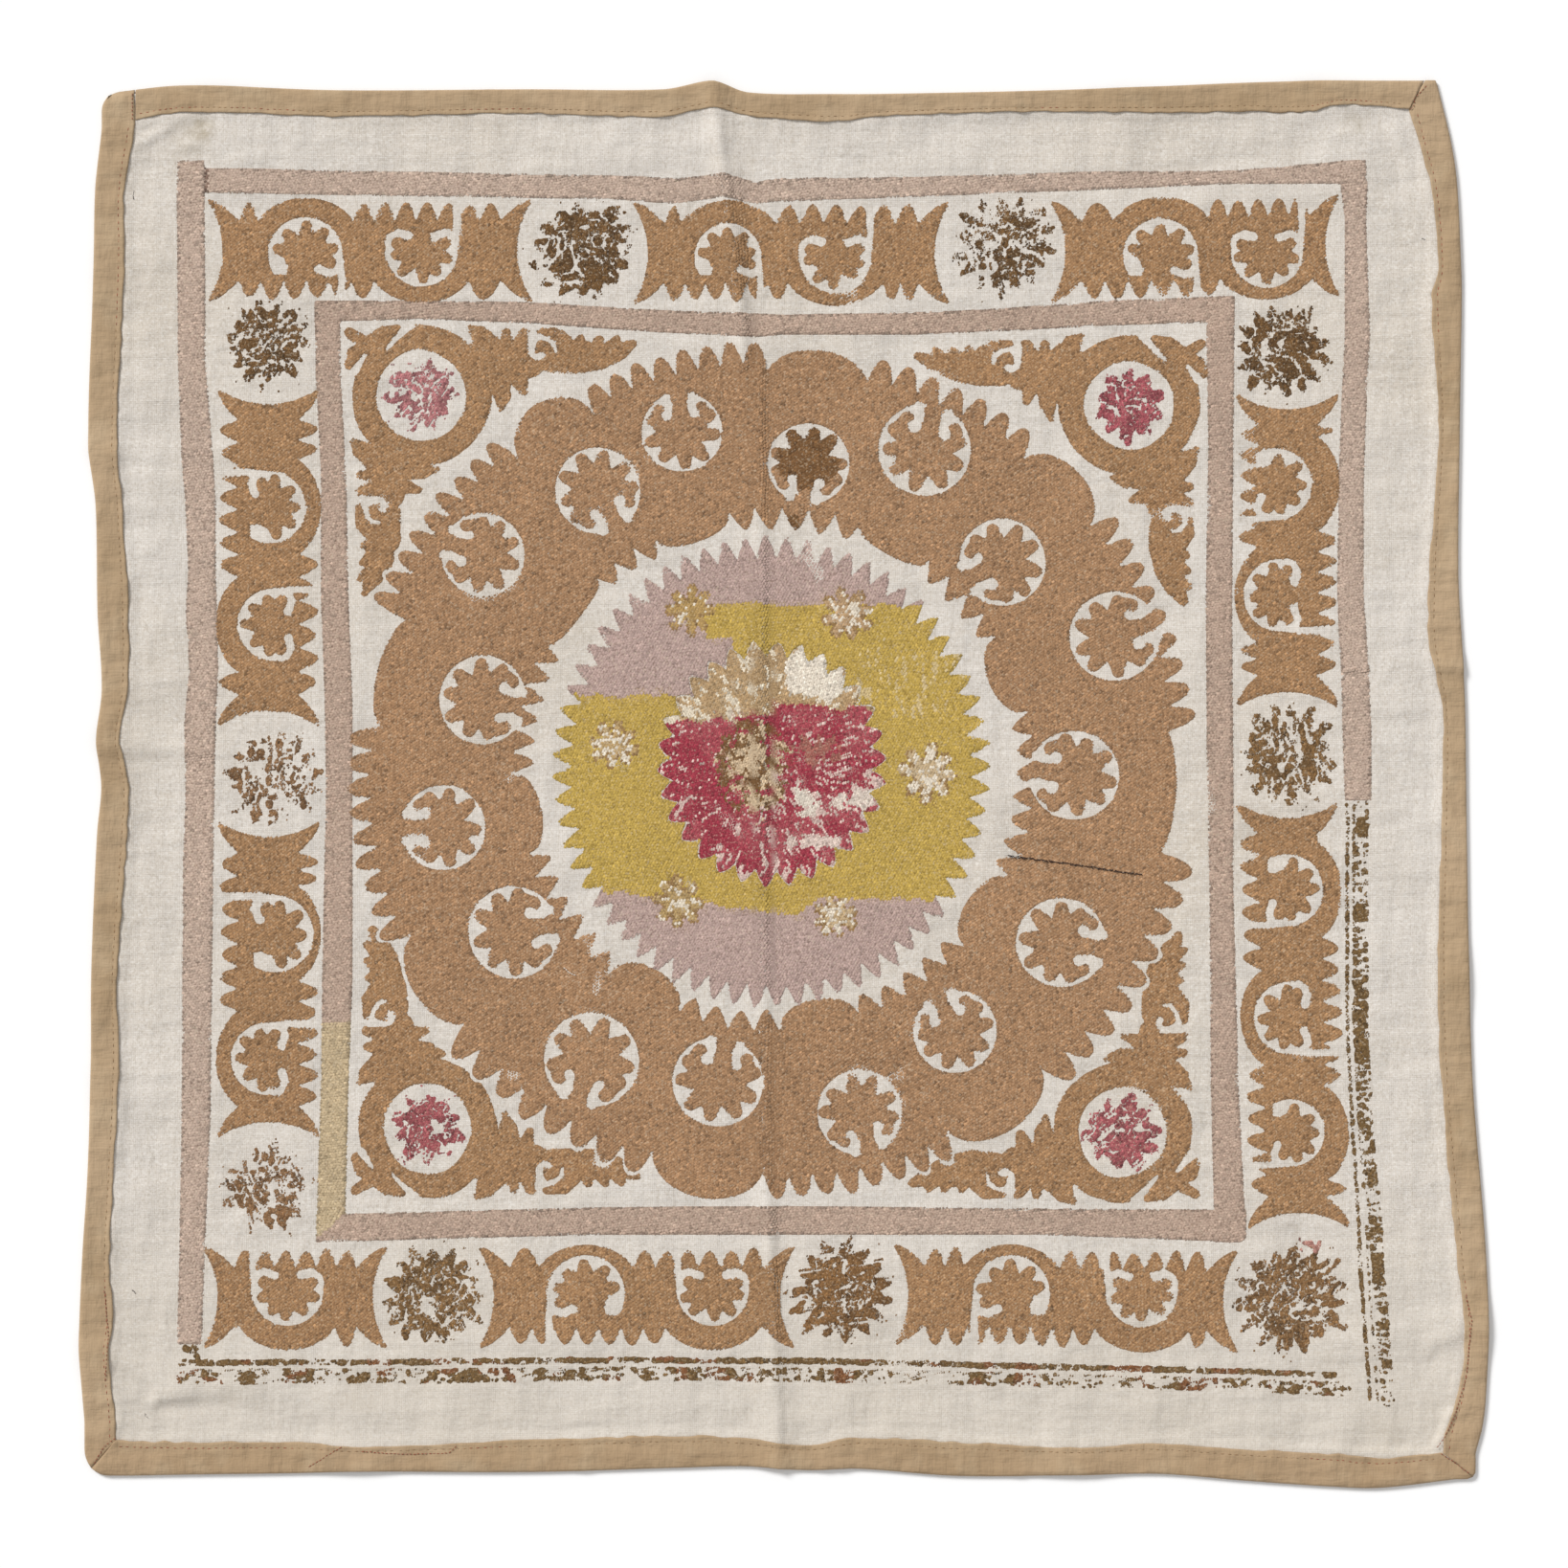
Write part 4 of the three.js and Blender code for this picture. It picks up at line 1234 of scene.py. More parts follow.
def lay_rosette(layer):
    box = around(ROSETTE_MIDDLE, ROSETTE_REACH)
    layer.add(box, rosette_shape, linear(166, 58, 74))
    faded = lambda x, y: soft_noise(x, y, 22, 84) - 0.15
    layer.tint(box, faded, linear(176, 78, 88))
    upper = lambda x, y: y - np.interp(x, RED_LIMIT_X, RED_LIMIT_Y) + 3 * soft_noise(x, y, 8, 84)
    layer.tint(box, upper, WORN_TAN)
    low_ticks = lambda x, y: radial_ticks(x, y, 85) - np.interp(x - y, (-60, 30, 110), (0.66, 0.4, 0.16))
    layer.tint(box, lambda x, y: np.minimum(low_ticks(x, y), -upper(x, y)), linear(226, 196, 186))
    high_ticks = lambda x, y: radial_ticks(x, y, 86) - np.interp(x, (-80, -20, 60), (0.2, 0.45, 0.3))
    layer.tint(box, lambda x, y: np.minimum(high_ticks(x, y), upper(x, y)), linear(236, 222, 198))
    near = lambda x, y: disc(x - PALE_MIDDLE[0], (y - PALE_MIDDLE[1]) * 1.1, PALE_REACH)
    pale = lambda x, y: near(x, y) + 8 * soft_noise(x, y, 6, 87)
    layer.tint(box, lambda x, y: np.minimum(pale(x, y), upper(x, y)), linear(240, 228, 210))
    for i, spot in enumerate(WORN_SPOTS):
        middle = spot["middle"]
        shape = lambda x, y: 1 - np.hypot((x - middle[0]) / spot["wide"], (y - middle[1]) / spot["high"])
        rough = lambda x, y: shape(x, y) + 0.75 * soft_noise(x, y, 4, 120 + i)
        layer.tint(box, rough, spot["colour"])
    core = lambda x, y: 1.1 - np.hypot((x - CORE_MIDDLE[0]) / CORE_WIDE, (y - CORE_MIDDLE[1]) / CORE_HIGH)
    knots = lambda x, y: np.minimum(core(x, y), soft_noise(x, y, 3.2, 131) - 0.05)
    layer.tint(box, knots, linear(128, 92, 54))


# Worn flowers: stars of ragged petals with gaps in rows
FLOWERS = table("middle radius lean worn colour", [
    ((-157, 418), 44, 84, 0.13, DARK_BROWN), ((173, 421), 43, 50, 0.24, DARK_BROWN),
    ((-406, 345), 37, 58, 0.2, DARK_BROWN), ((-400, 6), 40, 70, 0.36, WORN_BROWN),
    ((-404, -317), 39, 40, 0.3, WORN_BROWN), ((391, 340), 40, 12, 0.2, DARK_BROWN),
    ((394, 24), 42, 64, 0.2, linear(140, 106, 66)), ((-274, -400), 43, 66, 0.12, linear(140, 106, 66)),
    ((45, -397), 43, 22, 0.12, linear(142, 104, 64)), ((399, -403), 47, 60, 0.16, linear(144, 108, 70)),
])
SPRAY_FLOWERS = table("middle radius lean worn colour", [
    ((-284, 305), 31, 55, 0.22, FADED_RED), ((270, 297), 31, 30, 0.08, linear(178, 92, 100)),
    ((-279, -269), 31, 60, 0.14, linear(178, 96, 100)), ((265, -273), 33, 48, 0.14, linear(182, 100, 104)),
])
FLOWER_REACH = 1.25
LARGE_FLOWER = 35.0
LARGE_PETALS = 15
SMALL_PETALS = 10
PETAL_FOOT = 0.66
CRUMB_REACH = 1.12
CRUMBS_FROM = 0.6
GAPS_FROM = 0.62
HOLES_FROM = 0.95
TUFT_TONE = 0.72
PINK_MIDDLE = (411, -359)
PINK_REACH = 10


def worn_flower(x, y, flower, seed):
    """A star of ragged petals with crumbs round it, rows of gaps and a few holes."""
    draw = np.random.default_rng(seed)
    radius = flower["radius"]
    worn = flower["worn"]
    count = LARGE_PETALS if radius > LARGE_FLOWER else SMALL_PETALS
    from_x = x - flower["middle"][0]
    from_y = y - flower["middle"][1]
    away = np.hypot(from_x, from_y)
    angle = np.arctan2(from_y, from_x) / (2 * math.pi)
    tips = draw.uniform(0.84, 1.08, count)
    t = np.mod(angle * count + draw.uniform(0, 1) + 0.15 * soft_noise(x, y, 9, seed), count)
    tooth = tips[np.clip(t.astype(int), 0, count - 1)] - PETAL_FOOT
    star = radius * (PETAL_FOOT + tooth * teeth(t, 1.3)) - away
    ragged = star + (1.4 + 4 * worn) * soft_noise(x, y, 3.2, seed + 1)
    crumbs = np.minimum(radius * CRUMB_REACH - away, 3 * (soft_noise(x, y, 2.6, seed + 4) - CRUMBS_FROM))
    rows = streaks(x, y, flower["lean"] + 12 * soft_noise(x, y, 20, seed + 5), 1.6, 3.0, seed + 2)
    gaps = (GAPS_FROM - worn - rows) * 3.5
    holes = (HOLES_FROM - worn - soft_noise(x, y, 7, seed + 3)) * 5
    return np.minimum(np.minimum(np.maximum(ragged, crumbs), gaps), holes)


def lay_flowers(layer):
    for i, flower in enumerate(FLOWERS + SPRAY_FLOWERS):
        shape = lambda x, y: worn_flower(x, y, flower, 400 + 10 * i)
        box = around(flower["middle"], flower["radius"] * FLOWER_REACH)
        layer.add(box, shape, flower["colour"])
        tufts = lambda x, y: soft_noise(x, y, 7, 405 + 10 * i) - 0.15
        layer.tint(box, tufts, flower["colour"] * TUFT_TONE)
    petal_disc = lambda x, y: disc(x - PINK_MIDDLE[0], y - PINK_MIDDLE[1], PINK_REACH)
    pink = lambda x, y: np.minimum(petal_disc(x, y), 4 * soft_noise(x, y, 3, 391))
    layer.add(around(PINK_MIDDLE, PINK_REACH + 2), pink, linear(196, 142, 130))


# Worn strips along the lower right and the bottom: thin lines and a rubbed block
WORN_STRIPS = table("points radius kept", [
    ([(441, -16), (441, -60), (441, -182), (445, -266), (450, -343), (451, -375), (459, -482)],
     1.7, 0.9),
    ([(446, -16), (446, -60), (446, -182), (450, -266), (456, -343), (457, -375), (465, -482)],
     1.2, 0.7),
    ([(453, -16), (452, -60), (452, -182), (456, -266), (463, -343), (465, -375), (473, -482)],
     5.6, 0.34),
    ([(-472, -453), (-284, -452.5), (-134, -451), (8, -451.5), (361, -460), (431, -463)],
     2.7, 0.6),
    ([(-472, -459), (-284, -458.5), (-134, -457), (8, -457.5), (361, -466), (434, -469)],
     1.0, 0.7),
    ([(-472, -465), (-284, -464.5), (-134, -462), (8, -463), (361, -471), (440, -475)],
     5.0, 0.22),
    ([(-465, -444), (-464, -448)], 7.0, 0.3),
])
STRIP_BROWN = linear(126, 98, 60)
STRIP_RUST = linear(138, 92, 58)
STRIP_MARGIN = 12
STRIP_FRAY = 0.8
STRIP_RUBBED = 0.55
STRIP_GAPS = 0.8
STRIP_GRAIN = 0.6


def worn_yarn(x, y, strip, seed):
    """What is left of one strip; its gaps run across the cloth."""
    points = strip["points"]
    body = strand(x, y, points, [strip["radius"]] * len(points)) + STRIP_FRAY * soft_noise(x, y, 3.0, seed)
    rubbed = strip["kept"] - STRIP_RUBBED * soft_noise(x, y, 13, seed + 1)
    gaps = STRIP_GAPS * streaks(x, y, 0, 1.3, 3.5, seed + 2) + STRIP_GRAIN * soft_noise(x, y, 1.7, seed + 3)
    return np.minimum(body, (rubbed - gaps) * 2.4)


def lay_worn_strips(layer):
    for i, strip in enumerate(WORN_STRIPS):
        shape = lambda x, y: worn_yarn(x, y, strip, 520 + 5 * i)
        low = np.min(strip["points"], axis=0) - STRIP_MARGIN
        high = np.max(strip["points"], axis=0) + STRIP_MARGIN
        layer.add((low[0], low[1], high[0], high[1]), shape, STRIP_BROWN)
    rust = lambda x, y: soft_noise(x, y, 11, 571) - 0.35
    layer.tint((-490, -490, 490, -440), rust, STRIP_RUST)


# Patches: triangles that fill the outlines
PATCH_RISE = 0.38
PATCH_SINK = 0.05
RIM_DEPTH = (0.9, 2.4)
CORE_DEPTH = 4.0
CORE_NET = 7.5
PATCH_SHOULDER = 2.5
CROSSING_LOW = 0.06
CROSSING_HIGH = 0.94
LEAST_DEPTH = 0.02
LEAST_TURN = 1e-4


def crossings(layer):
    """Points where the outlines cross the grid, and the pairs of points that each cell joins."""
    inside = layer.inside
    full = inside > 0
    level = np.flatnonzero((full[:, :-1] != full[:, 1:]).ravel())
    upright = np.flatnonzero((full[:-1, :] != full[1:, :]).ravel())
    rows, columns = inside.shape
    level_id = np.full((rows, columns - 1), -1)
    level_id.ravel()[level] = np.arange(len(level))
    upright_id = np.full((rows - 1, columns), -1)
    upright_id.ravel()[upright] = len(level) + np.arange(len(upright))
    i, j = np.unravel_index(level, (rows, columns - 1))
    t = np.clip(inside[i, j] / (inside[i, j] - inside[i, j + 1]), CROSSING_LOW, CROSSING_HIGH)
    level_points = np.stack([layer.at[j] + t * layer.step, layer.at[i]], axis=1)
    i, j = np.unravel_index(upright, (rows - 1, columns))
    t = np.clip(inside[i, j] / (inside[i, j] - inside[i + 1, j]), CROSSING_LOW, CROSSING_HIGH)
    upright_points = np.stack([layer.at[j], layer.at[i] + t * layer.step], axis=1)
    low = level_id[:-1]
    high = level_id[1:]
    left = upright_id[:, :-1]
    right = upright_id[:, 1:]
    sides = np.stack([low, right, high, left], axis=-1)
    used = (sides >= 0).sum(axis=-1)
    twice = sides[used == 2]
    pairs = twice[twice >= 0].reshape(-1, 2)
    four = sides[used == 4]
    corner = full[:-1, :-1][used == 4]
    split = np.where(corner[:, None], four[:, [0, 1, 2, 3]], four[:, [3, 0, 1, 2]])
    pairs = np.concatenate([pairs, split[:, :2], split[:, 2:]])
    return np.concatenate([level_points, upright_points]), pairs


def inner_points(layer):
    """Points inside the outlines: a close row along them and a wide net further in."""
    rows, columns = np.indices(layer.inside.shape)
    close = (layer.inside > RIM_DEPTH[0]) & (layer.inside < RIM_DEPTH[1]) & ((rows + columns) % 3 == 0)
    close &= rows % 2 == 0
    wide_step = round(CORE_NET / layer.step)
    wide = (layer.inside > CORE_DEPTH) & (rows % wide_step == 0) & (columns % wide_step == 0)
    i, j = np.nonzero(close | wide)
    return np.stack([layer.at[j], layer.at[i]], axis=1)


def patch_height(layer, x, y):
    depth = np.clip(layer.read(x, y), 0, PATCH_SHOULDER) / PATCH_SHOULDER
    return linen_top(x, y) - PATCH_SINK + (PATCH_RISE + PATCH_SINK) * np.sqrt(depth)


def patch_mesh(layer):
    """Triangles that fill the outlines."""
    rim, pairs = crossings(layer)
    points = np.concatenate([rim, inner_points(layer)])
    result = geometry.delaunay_2d_cdt(
        [tuple(point) for point in points], [tuple(pair) for pair in pairs.tolist()], [], 0, 1e-6)
    points = np.array([tuple(point) for point in result[0]])
    faces = np.array([face for face in result[2] if len(face) == 3])
    corners = points[faces]
    middle = corners.mean(axis=1)
    faces = faces[layer.read(middle[:, 0], middle[:, 1]) > LEAST_DEPTH]
    corners = points[faces]
    first = corners[:, 1] - corners[:, 0]
    second = corners[:, 2] - corners[:, 0]
    turn = first[:, 0] * second[:, 1] - first[:, 1] * second[:, 0]
    faces = faces[np.abs(turn) > LEAST_TURN]
    turn = turn[np.abs(turn) > LEAST_TURN]
    faces[turn < 0] = faces[turn < 0][:, ::-1]
    used, faces = np.unique(faces, return_inverse=True)
    return points[used], faces.reshape(-1, 3)


# Stitches: small low roofs in offset rows over the patches
STITCH_PLACES = [(0.5, 0.5), (0.95, 0.95), (0.05, 0.95), (0.05, 0.05), (0.95, 0.05)]
ROWS_REACH = 1.45
GRID_MARGIN = 3
STITCH_DEPTH = 0.45
STITCH_OVERLAP = 0.53
STITCH_SINK = 0.06
ROW_WANDER = 2.4
ROW_WANDER_CELL = 34.0
DARK_CHANCE = 0.09
DARK_TONE = 0.6
BRIGHT_CHANCE = 0.92
BRIGHT_TONE = 1.3
EDGE_DEPTH = 1.7
# Painted shade: the four foot points of each stitch are darkened by this share, as if shadowed in the gaps
# between stitches
FOOT_PAINTED_SHADE = 0.78
# Painted shade: the patch under the stitches takes the yarn colour darkened by this share, as if shadowed
# between the stitches
PATCH_PAINTED_SHADE = 0.74


def stitch_places(layer, length, width, degrees, draw):
    """Middles of the stitches that lie inside the outlines, in rows that wander a little."""
    reach = GRID_REACH * ROWS_REACH
    rows = np.arange(-reach, reach, width)
    places = np.arange(-reach, reach, length)
    along, across = np.meshgrid(places, rows)
    along = along + (np.arange(len(rows)) % 2)[:, None] * length / 2
    along = along + draw.uniform(-0.16, 0.16, along.shape) * length
    across = across + draw.uniform(-0.13, 0.13, along.shape) * width
    across = across + ROW_WANDER * soft_noise(along, across, ROW_WANDER_CELL, 7)
    turn = math.radians(degrees)
    x = (along * math.cos(turn) - across * math.sin(turn)).ravel()
    y = (along * math.sin(turn) + across * math.cos(turn)).ravel()
    near = (np.abs(x) < GRID_REACH - GRID_MARGIN) & (np.abs(y) < GRID_REACH - GRID_MARGIN)
    x = x[near]
    y = y[near]
    depth = layer.read(x, y)
    kept = depth > STITCH_DEPTH
    return x[kept], y[kept], depth[kept]


# Line of the middle crease, and how far soil has settled beside it
CREASE_LINE_Y = (-551, -330, 330, 551)
CREASE_LINE_X = (-8, -18, -26, -50)
SOIL_REACH = 8
SOIL_SHARE = 0.2


def crease_soil(x, y):
    """Share of the soil beside the middle crease."""
    crease = np.interp(y, CREASE_LINE_Y, CREASE_LINE_X)
    return fade(np.abs(x - crease), 1, SOIL_REACH) * (0.6 + 0.4 * soft_noise(x, y, 30, 77))


def stitch_mesh(layer, style, seed):
    """Points, faces and colours of one layer's stitches, each a base of four and one top point."""
    draw = np.random.default_rng(seed)
    length = style["length"]
    width = style["width"]
    x, y, depth = stitch_places(layer, length, width, style["degrees"], draw)
    count = len(x)
    size = np.clip(depth / 1.3, 0.62, 1)
    turn = math.radians(style["degrees"]) + draw.normal(0, style["unrest"], count)
    half_length = STITCH_OVERLAP * length * size * draw.uniform(0.9, 1.12, count)
    half_width = STITCH_OVERLAP * width * size * draw.uniform(0.88, 1.1, count)
    cos = np.cos(turn)
    sin = np.sin(turn)
    corners_x = [x]
    corners_y = [y]
    for along, across in ((1, 1), (-1, 1), (-1, -1), (1, -1)):
        corners_x.append(x + along * half_length * cos - across * half_width * sin)
        corners_y.append(y + along * half_length * sin + across * half_width * cos)
    lean_x = draw.uniform(-0.15, 0.15, count) * length
    corners_x[0] = x + lean_x * cos
    corners_y[0] = y + lean_x * sin
    ground_level = patch_height(layer, x, y)
    base = ground_level - STITCH_SINK
    top = ground_level + style["height"] * size * draw.uniform(0.75, 1.15, count)
    points_x = np.stack(corners_x, axis=1)
    points_y = np.stack(corners_y, axis=1)
    points_z = np.stack([top, base, base, base, base], axis=1)
    roof = np.array([[0, 1, 2], [0, 2, 3], [0, 3, 4], [0, 4, 1]])
    faces = (np.arange(count)[:, None, None] * 5 + roof).reshape(-1, 3)
    shade = layer.colour(x, y)
    tone = 1 + draw.normal(0, 0.13, count) + 0.06 * soft_noise(x, y, 40, seed + 1)
    tone = tone * (1 - SOIL_SHARE * crease_soil(x, y))
    chance = draw.uniform(0, 1, count)
    tone = np.where(chance < DARK_CHANCE, tone * DARK_TONE, tone)
    tone = np.where(chance > BRIGHT_CHANCE, tone * BRIGHT_TONE, tone)
    tone = 1 + style["spread"] * (tone - 1)
    tone = np.where((depth < EDGE_DEPTH) & (chance < style["edge_share"]), tone * style["edge_tone"], tone)
    shade = shade * tone[:, None]
    shades = np.repeat(shade[:, None, :], 5, axis=1)
    # Painted shade: the foot points are darker than the top, standing in for shadow in the gaps between
    # stitches
    shades[:, 1:, :] *= FOOT_PAINTED_SHADE
    return points_x.ravel(), points_y.ravel(), points_z.ravel(), faces, np.clip(shades.reshape(-1, 3), 0, 1)


def embroider(name, layer, style, material, seed):
    """One piece: the patches of a layer and the stitches on them."""
    layer.settle()
    patch, patch_faces = patch_mesh(layer)
    patch_z = patch_height(layer, patch[:, 0], patch[:, 1])
    # The patch colour is the yarn darkened: painted shade showing between the stitches
    patch_shade = layer.colour(patch[:, 0], patch[:, 1]) * PATCH_PAINTED_SHADE
    x, y, z, faces, shades = stitch_mesh(layer, style, seed)
    points = np.concatenate([placed(patch[:, 0], patch[:, 1], patch_z), placed(x, y, z)])
    patch_map = flat_map(patch[:, 0], patch[:, 1], *PATCH_SQUARE)
    stitch_map = cell_map(len(x) // 5, STITCH_PLACES, *STITCH_SQUARE).reshape(-1, 2)
    every = np.concatenate([patch_faces, faces + len(patch)])
    corner_map = np.concatenate([patch_map, stitch_map])[every]
    piece = mesh_object(name, points, every, material, corner_map, np.concatenate([patch_shade, shades]))
    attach(piece, "root")
    return piece


# Sewing threads: slim grains of eight triangles that lie on the cloth
THREAD_BROWN = linear(150, 118, 84)
THREAD_RED = linear(150, 76, 56)
DARNING = linear(44, 24, 22)
LOOSE_WHITE = linear(240, 236, 226)
TOP_STITCH = 3.8
TOP_STITCH_PITCH = 5.6
STRIP_TOP = FRONT_RISE + RIBBON / 2
RED_PATCH_CELL = 55.0
RED_FROM = 0.72
GRAIN_HALF_WIDTH = 0.42
GRAIN_HALF_HEIGHT = 0.34
GRAIN_PLACES = [(0.05, 0.05), (0.95, 0.05), (0.05, 0.95)]


def strip_front(distance, along, seed):
    """Height of a strip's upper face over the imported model's ground, without the folds."""
    sink = FRONT_SINK * (distance / BINDING) ** 1.5
    return FRONT_RISE - sink + RIBBON / 2 + strip_relief(distance, along, seed)


def seam_threads(strip, draw):
    """Starts, ends and colours of the topstitches along one strip."""
    along_x = strip["along_x"]
    half = (CLOTH_WIDTH if along_x else CLOTH_HEIGHT) / 2 - BINDING - 2
    first = np.arange(-half, half - TOP_STITCH, TOP_STITCH_PITCH)
    first = first + draw.uniform(-0.7, 0.7, len(first))
    ends = []
    for along in (first, first + TOP_STITCH):
        distance = BINDING - STITCH_LINE + draw.uniform(-0.3, 0.3, len(first))
        x, y = on_side(along_x, strip["positive"], along, distance)
        level = strip_front(distance, along, strip["seed"]) + strip_lift(x, y)
        ends.append(np.stack([x, y, level], axis=1))
    patchy = soft_noise(first, first * 0 + strip["seed"], RED_PATCH_CELL, 9)
    red = patchy + 0.9 * np.abs(first) / half > RED_FROM
    shade = np.where(red[:, None], THREAD_RED, THREAD_BROWN) * draw.uniform(0.8, 1.15, (len(first), 1))
    return ends[0], ends[1], shade


def laid_thread(points, step, length, jitter, rise, colour, on_strip, draw):
    """Grains along a line on the cloth or on a strip, one after another."""
    points = np.array(points, dtype=float)
    runs = np.concatenate([[0], np.cumsum(np.hypot(*np.diff(points, axis=0).T))])
    first = np.arange(0, runs[-1] - length, step)
    ends = []
    for at in (first, first + length):
        x = np.interp(at, runs, points[:, 0]) + draw.uniform(-jitter, jitter, len(first))
        y = np.interp(at, runs, points[:, 1]) + draw.uniform(-jitter, jitter, len(first))
        level = linen_top(x, y)
        if on_strip:
            level = STRIP_TOP + strip_lift(x, y)
        ends.append(np.stack([x, y, level + rise], axis=1))
    return ends[0], ends[1], np.repeat(colour[None, :], len(first), axis=0)


# Laid threads: points, step, length of a grain, jitter, rise, colour, and whether they lie on a strip
LAID_THREADS = [
    ([(175, -56), (220, -62), (252, -67), (281, -71)], 0.9, 2.6, 0.9, 1.15, DARNING, False),
    ([(-173, -143), (-168, -148), (-162, -150)], 2.0, 2.4, 0.3, 1.1, LOOSE_WHITE, False),
    ([(499, 428), (502, 426)], 1.0, 1.5, 0.6, 0.2, linear(110, 106, 104), False),
    ([(-501, -493), (-497, -497)], 1.0, 1.6, 0.8, 0.2, linear(60, 52, 50), False),
    ([(-511, -396), (-507, -399)], 1.0, 1.5, 0.6, 0.2, linear(120, 116, 112), False),
    ([(-509, 465), (-510, 461), (-509, 457)], 1.2, 1.6, 0.3, 0.2, linear(62, 54, 50), False),
]
SEAM_LINES = [
    [(-522.9, -511.7), (-531.9, -517.7), (-540.6, -532.7)],
    [(513.6, -523.7), (525, -531), (536.8, -540.2)],
    [(533.5, -400), (538, -420), (535.8, -440.4), (534.2, -463)],
    [(534.2, -463), (524.5, -495.2), (516.6, -511.3), (509.8, -520.7)],
    [(-510.2, 541), (-510.2, 518)],
    [(503.1, 547), (492.9, 536.4), (493.3, 530.8), (488.8, 527.1)],
    [(-346, -518.4), (-360, -527), (-373, -535)],
    [(-331, -522), (-300, -524.5), (-262, -523.5), (-254, -516)],
    [(-532, -396), (-529, -430), (-531, -468)],
]
LAID_THREADS += [(line, 3.1, 2.9, 0.25, 0.05, THREAD_RED, True) for line in SEAM_LINES]


def build_threads(strips, material):
    """All sewing threads as one piece of grains."""
    draw = np.random.default_rng(701)
    parts = [seam_threads(strip, draw) for strip in strips]
    parts += [laid_thread(*thread, draw) for thread in LAID_THREADS]
    start, end, shade = [np.concatenate(columns) for columns in zip(*parts)]
    middle = (start + end) / 2
    along = end - start
    side = np.stack([-along[:, 1], along[:, 0], np.zeros(len(along))], axis=1)
    side = side / np.maximum(np.hypot(side[:, 0], side[:, 1]), 1e-6)[:, None] * GRAIN_HALF_WIDTH
    up = np.array([0, 0, GRAIN_HALF_HEIGHT])
    points = np.stack([start, end, middle + side, middle + up, middle - side, middle - up], axis=1)
    corner = np.array([
        [0, 3, 2], [0, 4, 3], [0, 5, 4], [0, 2, 5],
        [1, 2, 3], [1, 3, 4], [1, 4, 5], [1, 5, 2],
    ])
    faces = (np.arange(len(start))[:, None, None] * 6 + corner[None]).reshape(-1, 3)
    points = points.reshape(-1, 3)
    shades = np.repeat(shade, 6, axis=0)
    corner_map = cell_map(len(faces), GRAIN_PLACES, *THREAD_SQUARE)
    where = placed(points[:, 0], points[:, 1], points[:, 2])
    threads = mesh_object("sewing_threads", where, faces, material, corner_map, np.clip(shades, 0, 1))
    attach(threads, "root")
    return threads


# Stitch styles, and the share and tone of the darker stitches at the outlines
STYLE_NAMES = "name length width degrees height unrest edge_share edge_tone spread"
STYLE_ROWS = [
    ("wreath", 2.7, 2.0, 34, 0.62, 0.12, 0.6, 0.82, 0.85),
    ("border", 2.7, 2.0, 38, 0.62, 0.14, 0.6, 0.82, 0.85),
    ("bands", 2.6, 2.0, 8, 0.55, 0.3, 0.8, 0.62, 0.6),
    ("medallion", 2.6, 2.0, 62, 0.55, 0.16, 0.5, 0.8, 0.5),
    ("rosette", 2.4, 1.6, 70, 0.5, 0.3, 0.5, 0.8, 0.8),
    ("flowers", 2.3, 1.5, 62, 0.5, 0.45, 0.4, 0.8, 1.0),
]
STYLES = {style["name"]: style for style in table(STYLE_NAMES, STYLE_ROWS)}


# Materials
def new_material(name):
    """A material, its node tree and the cloth's own coordinates in metres."""
    material = bpy.data.materials.new(name)
    material.use_nodes = True
    where = add_node(material.node_tree, "ShaderNodeTexCoord").outputs["Object"]
    return material, material.node_tree, where


def set_shader(tree, roughness, specular, colour=None, normal=None, **others):
    """Sets the main shader's uniform values and links its colour and its normal."""
    shader = tree.nodes["Principled BSDF"]
    if colour is not None:
        tree.links.new(colour, shader.inputs["Base Color"])
    if normal is not None:
        tree.links.new(normal, shader.inputs["Normal"])
    shader.inputs["Roughness"].default_value = roughness
    shader.inputs["Specular IOR Level"].default_value = specular
    for name, value in others.items():
        shader.inputs[name].default_value = value


def add_node(tree, kind, inputs=None, **settings):
    made = tree.nodes.new(kind)
    for key, value in settings.items():
        setattr(made, key, value)
    for key, value in (inputs or {}).items():
        if isinstance(value, bpy.types.NodeSocket):
            tree.links.new(value, made.inputs[key])
        else:
            made.inputs[key].default_value = value
    return made


def blend_colours(tree, share, first, second, mode="MIX"):
    """Mixes two colours, each a socket or a linear colour."""
    mix = tree.nodes.new("ShaderNodeMix")
    mix.data_type = "RGBA"
    mix.blend_type = mode
    for key, value in ((0, share), (6, first), (7, second)):
        if isinstance(value, bpy.types.NodeSocket):
            tree.links.new(value, mix.inputs[key])
        elif key == 0:
            mix.inputs[key].default_value = value
        else:
            mix.inputs[key].default_value = (*value, 1)
    return mix.outputs[2]


def noise_band(tree, where, scale, low, high, stretch=(1, 1, 1), detail=2.0, share=1.0):
    """Noise between two levels, stretched in the cloth's own directions, from 0 to a share."""
    spread = add_node(tree, "ShaderNodeMapping", {"Vector": where, "Scale": stretch})
    noise = add_node(
        tree, "ShaderNodeTexNoise", {"Vector": spread.outputs[0], "Scale": scale, "Detail": detail})
    levels = {"Value": noise.outputs[0], "From Min": low, "From Max": high, "To Max": share}
    return add_node(tree, "ShaderNodeMapRange", levels).outputs[0]


def blend_tones(tree, where, colour, tones):
    """Blends noise bands of other tones over a colour, one after another."""
    for scale, low, high, stretch, detail, share, tone in tones:
        band = noise_band(tree, where, scale, low, high, stretch, detail, share)
        colour = blend_colours(tree, band, colour, linear(*tone))
    return colour


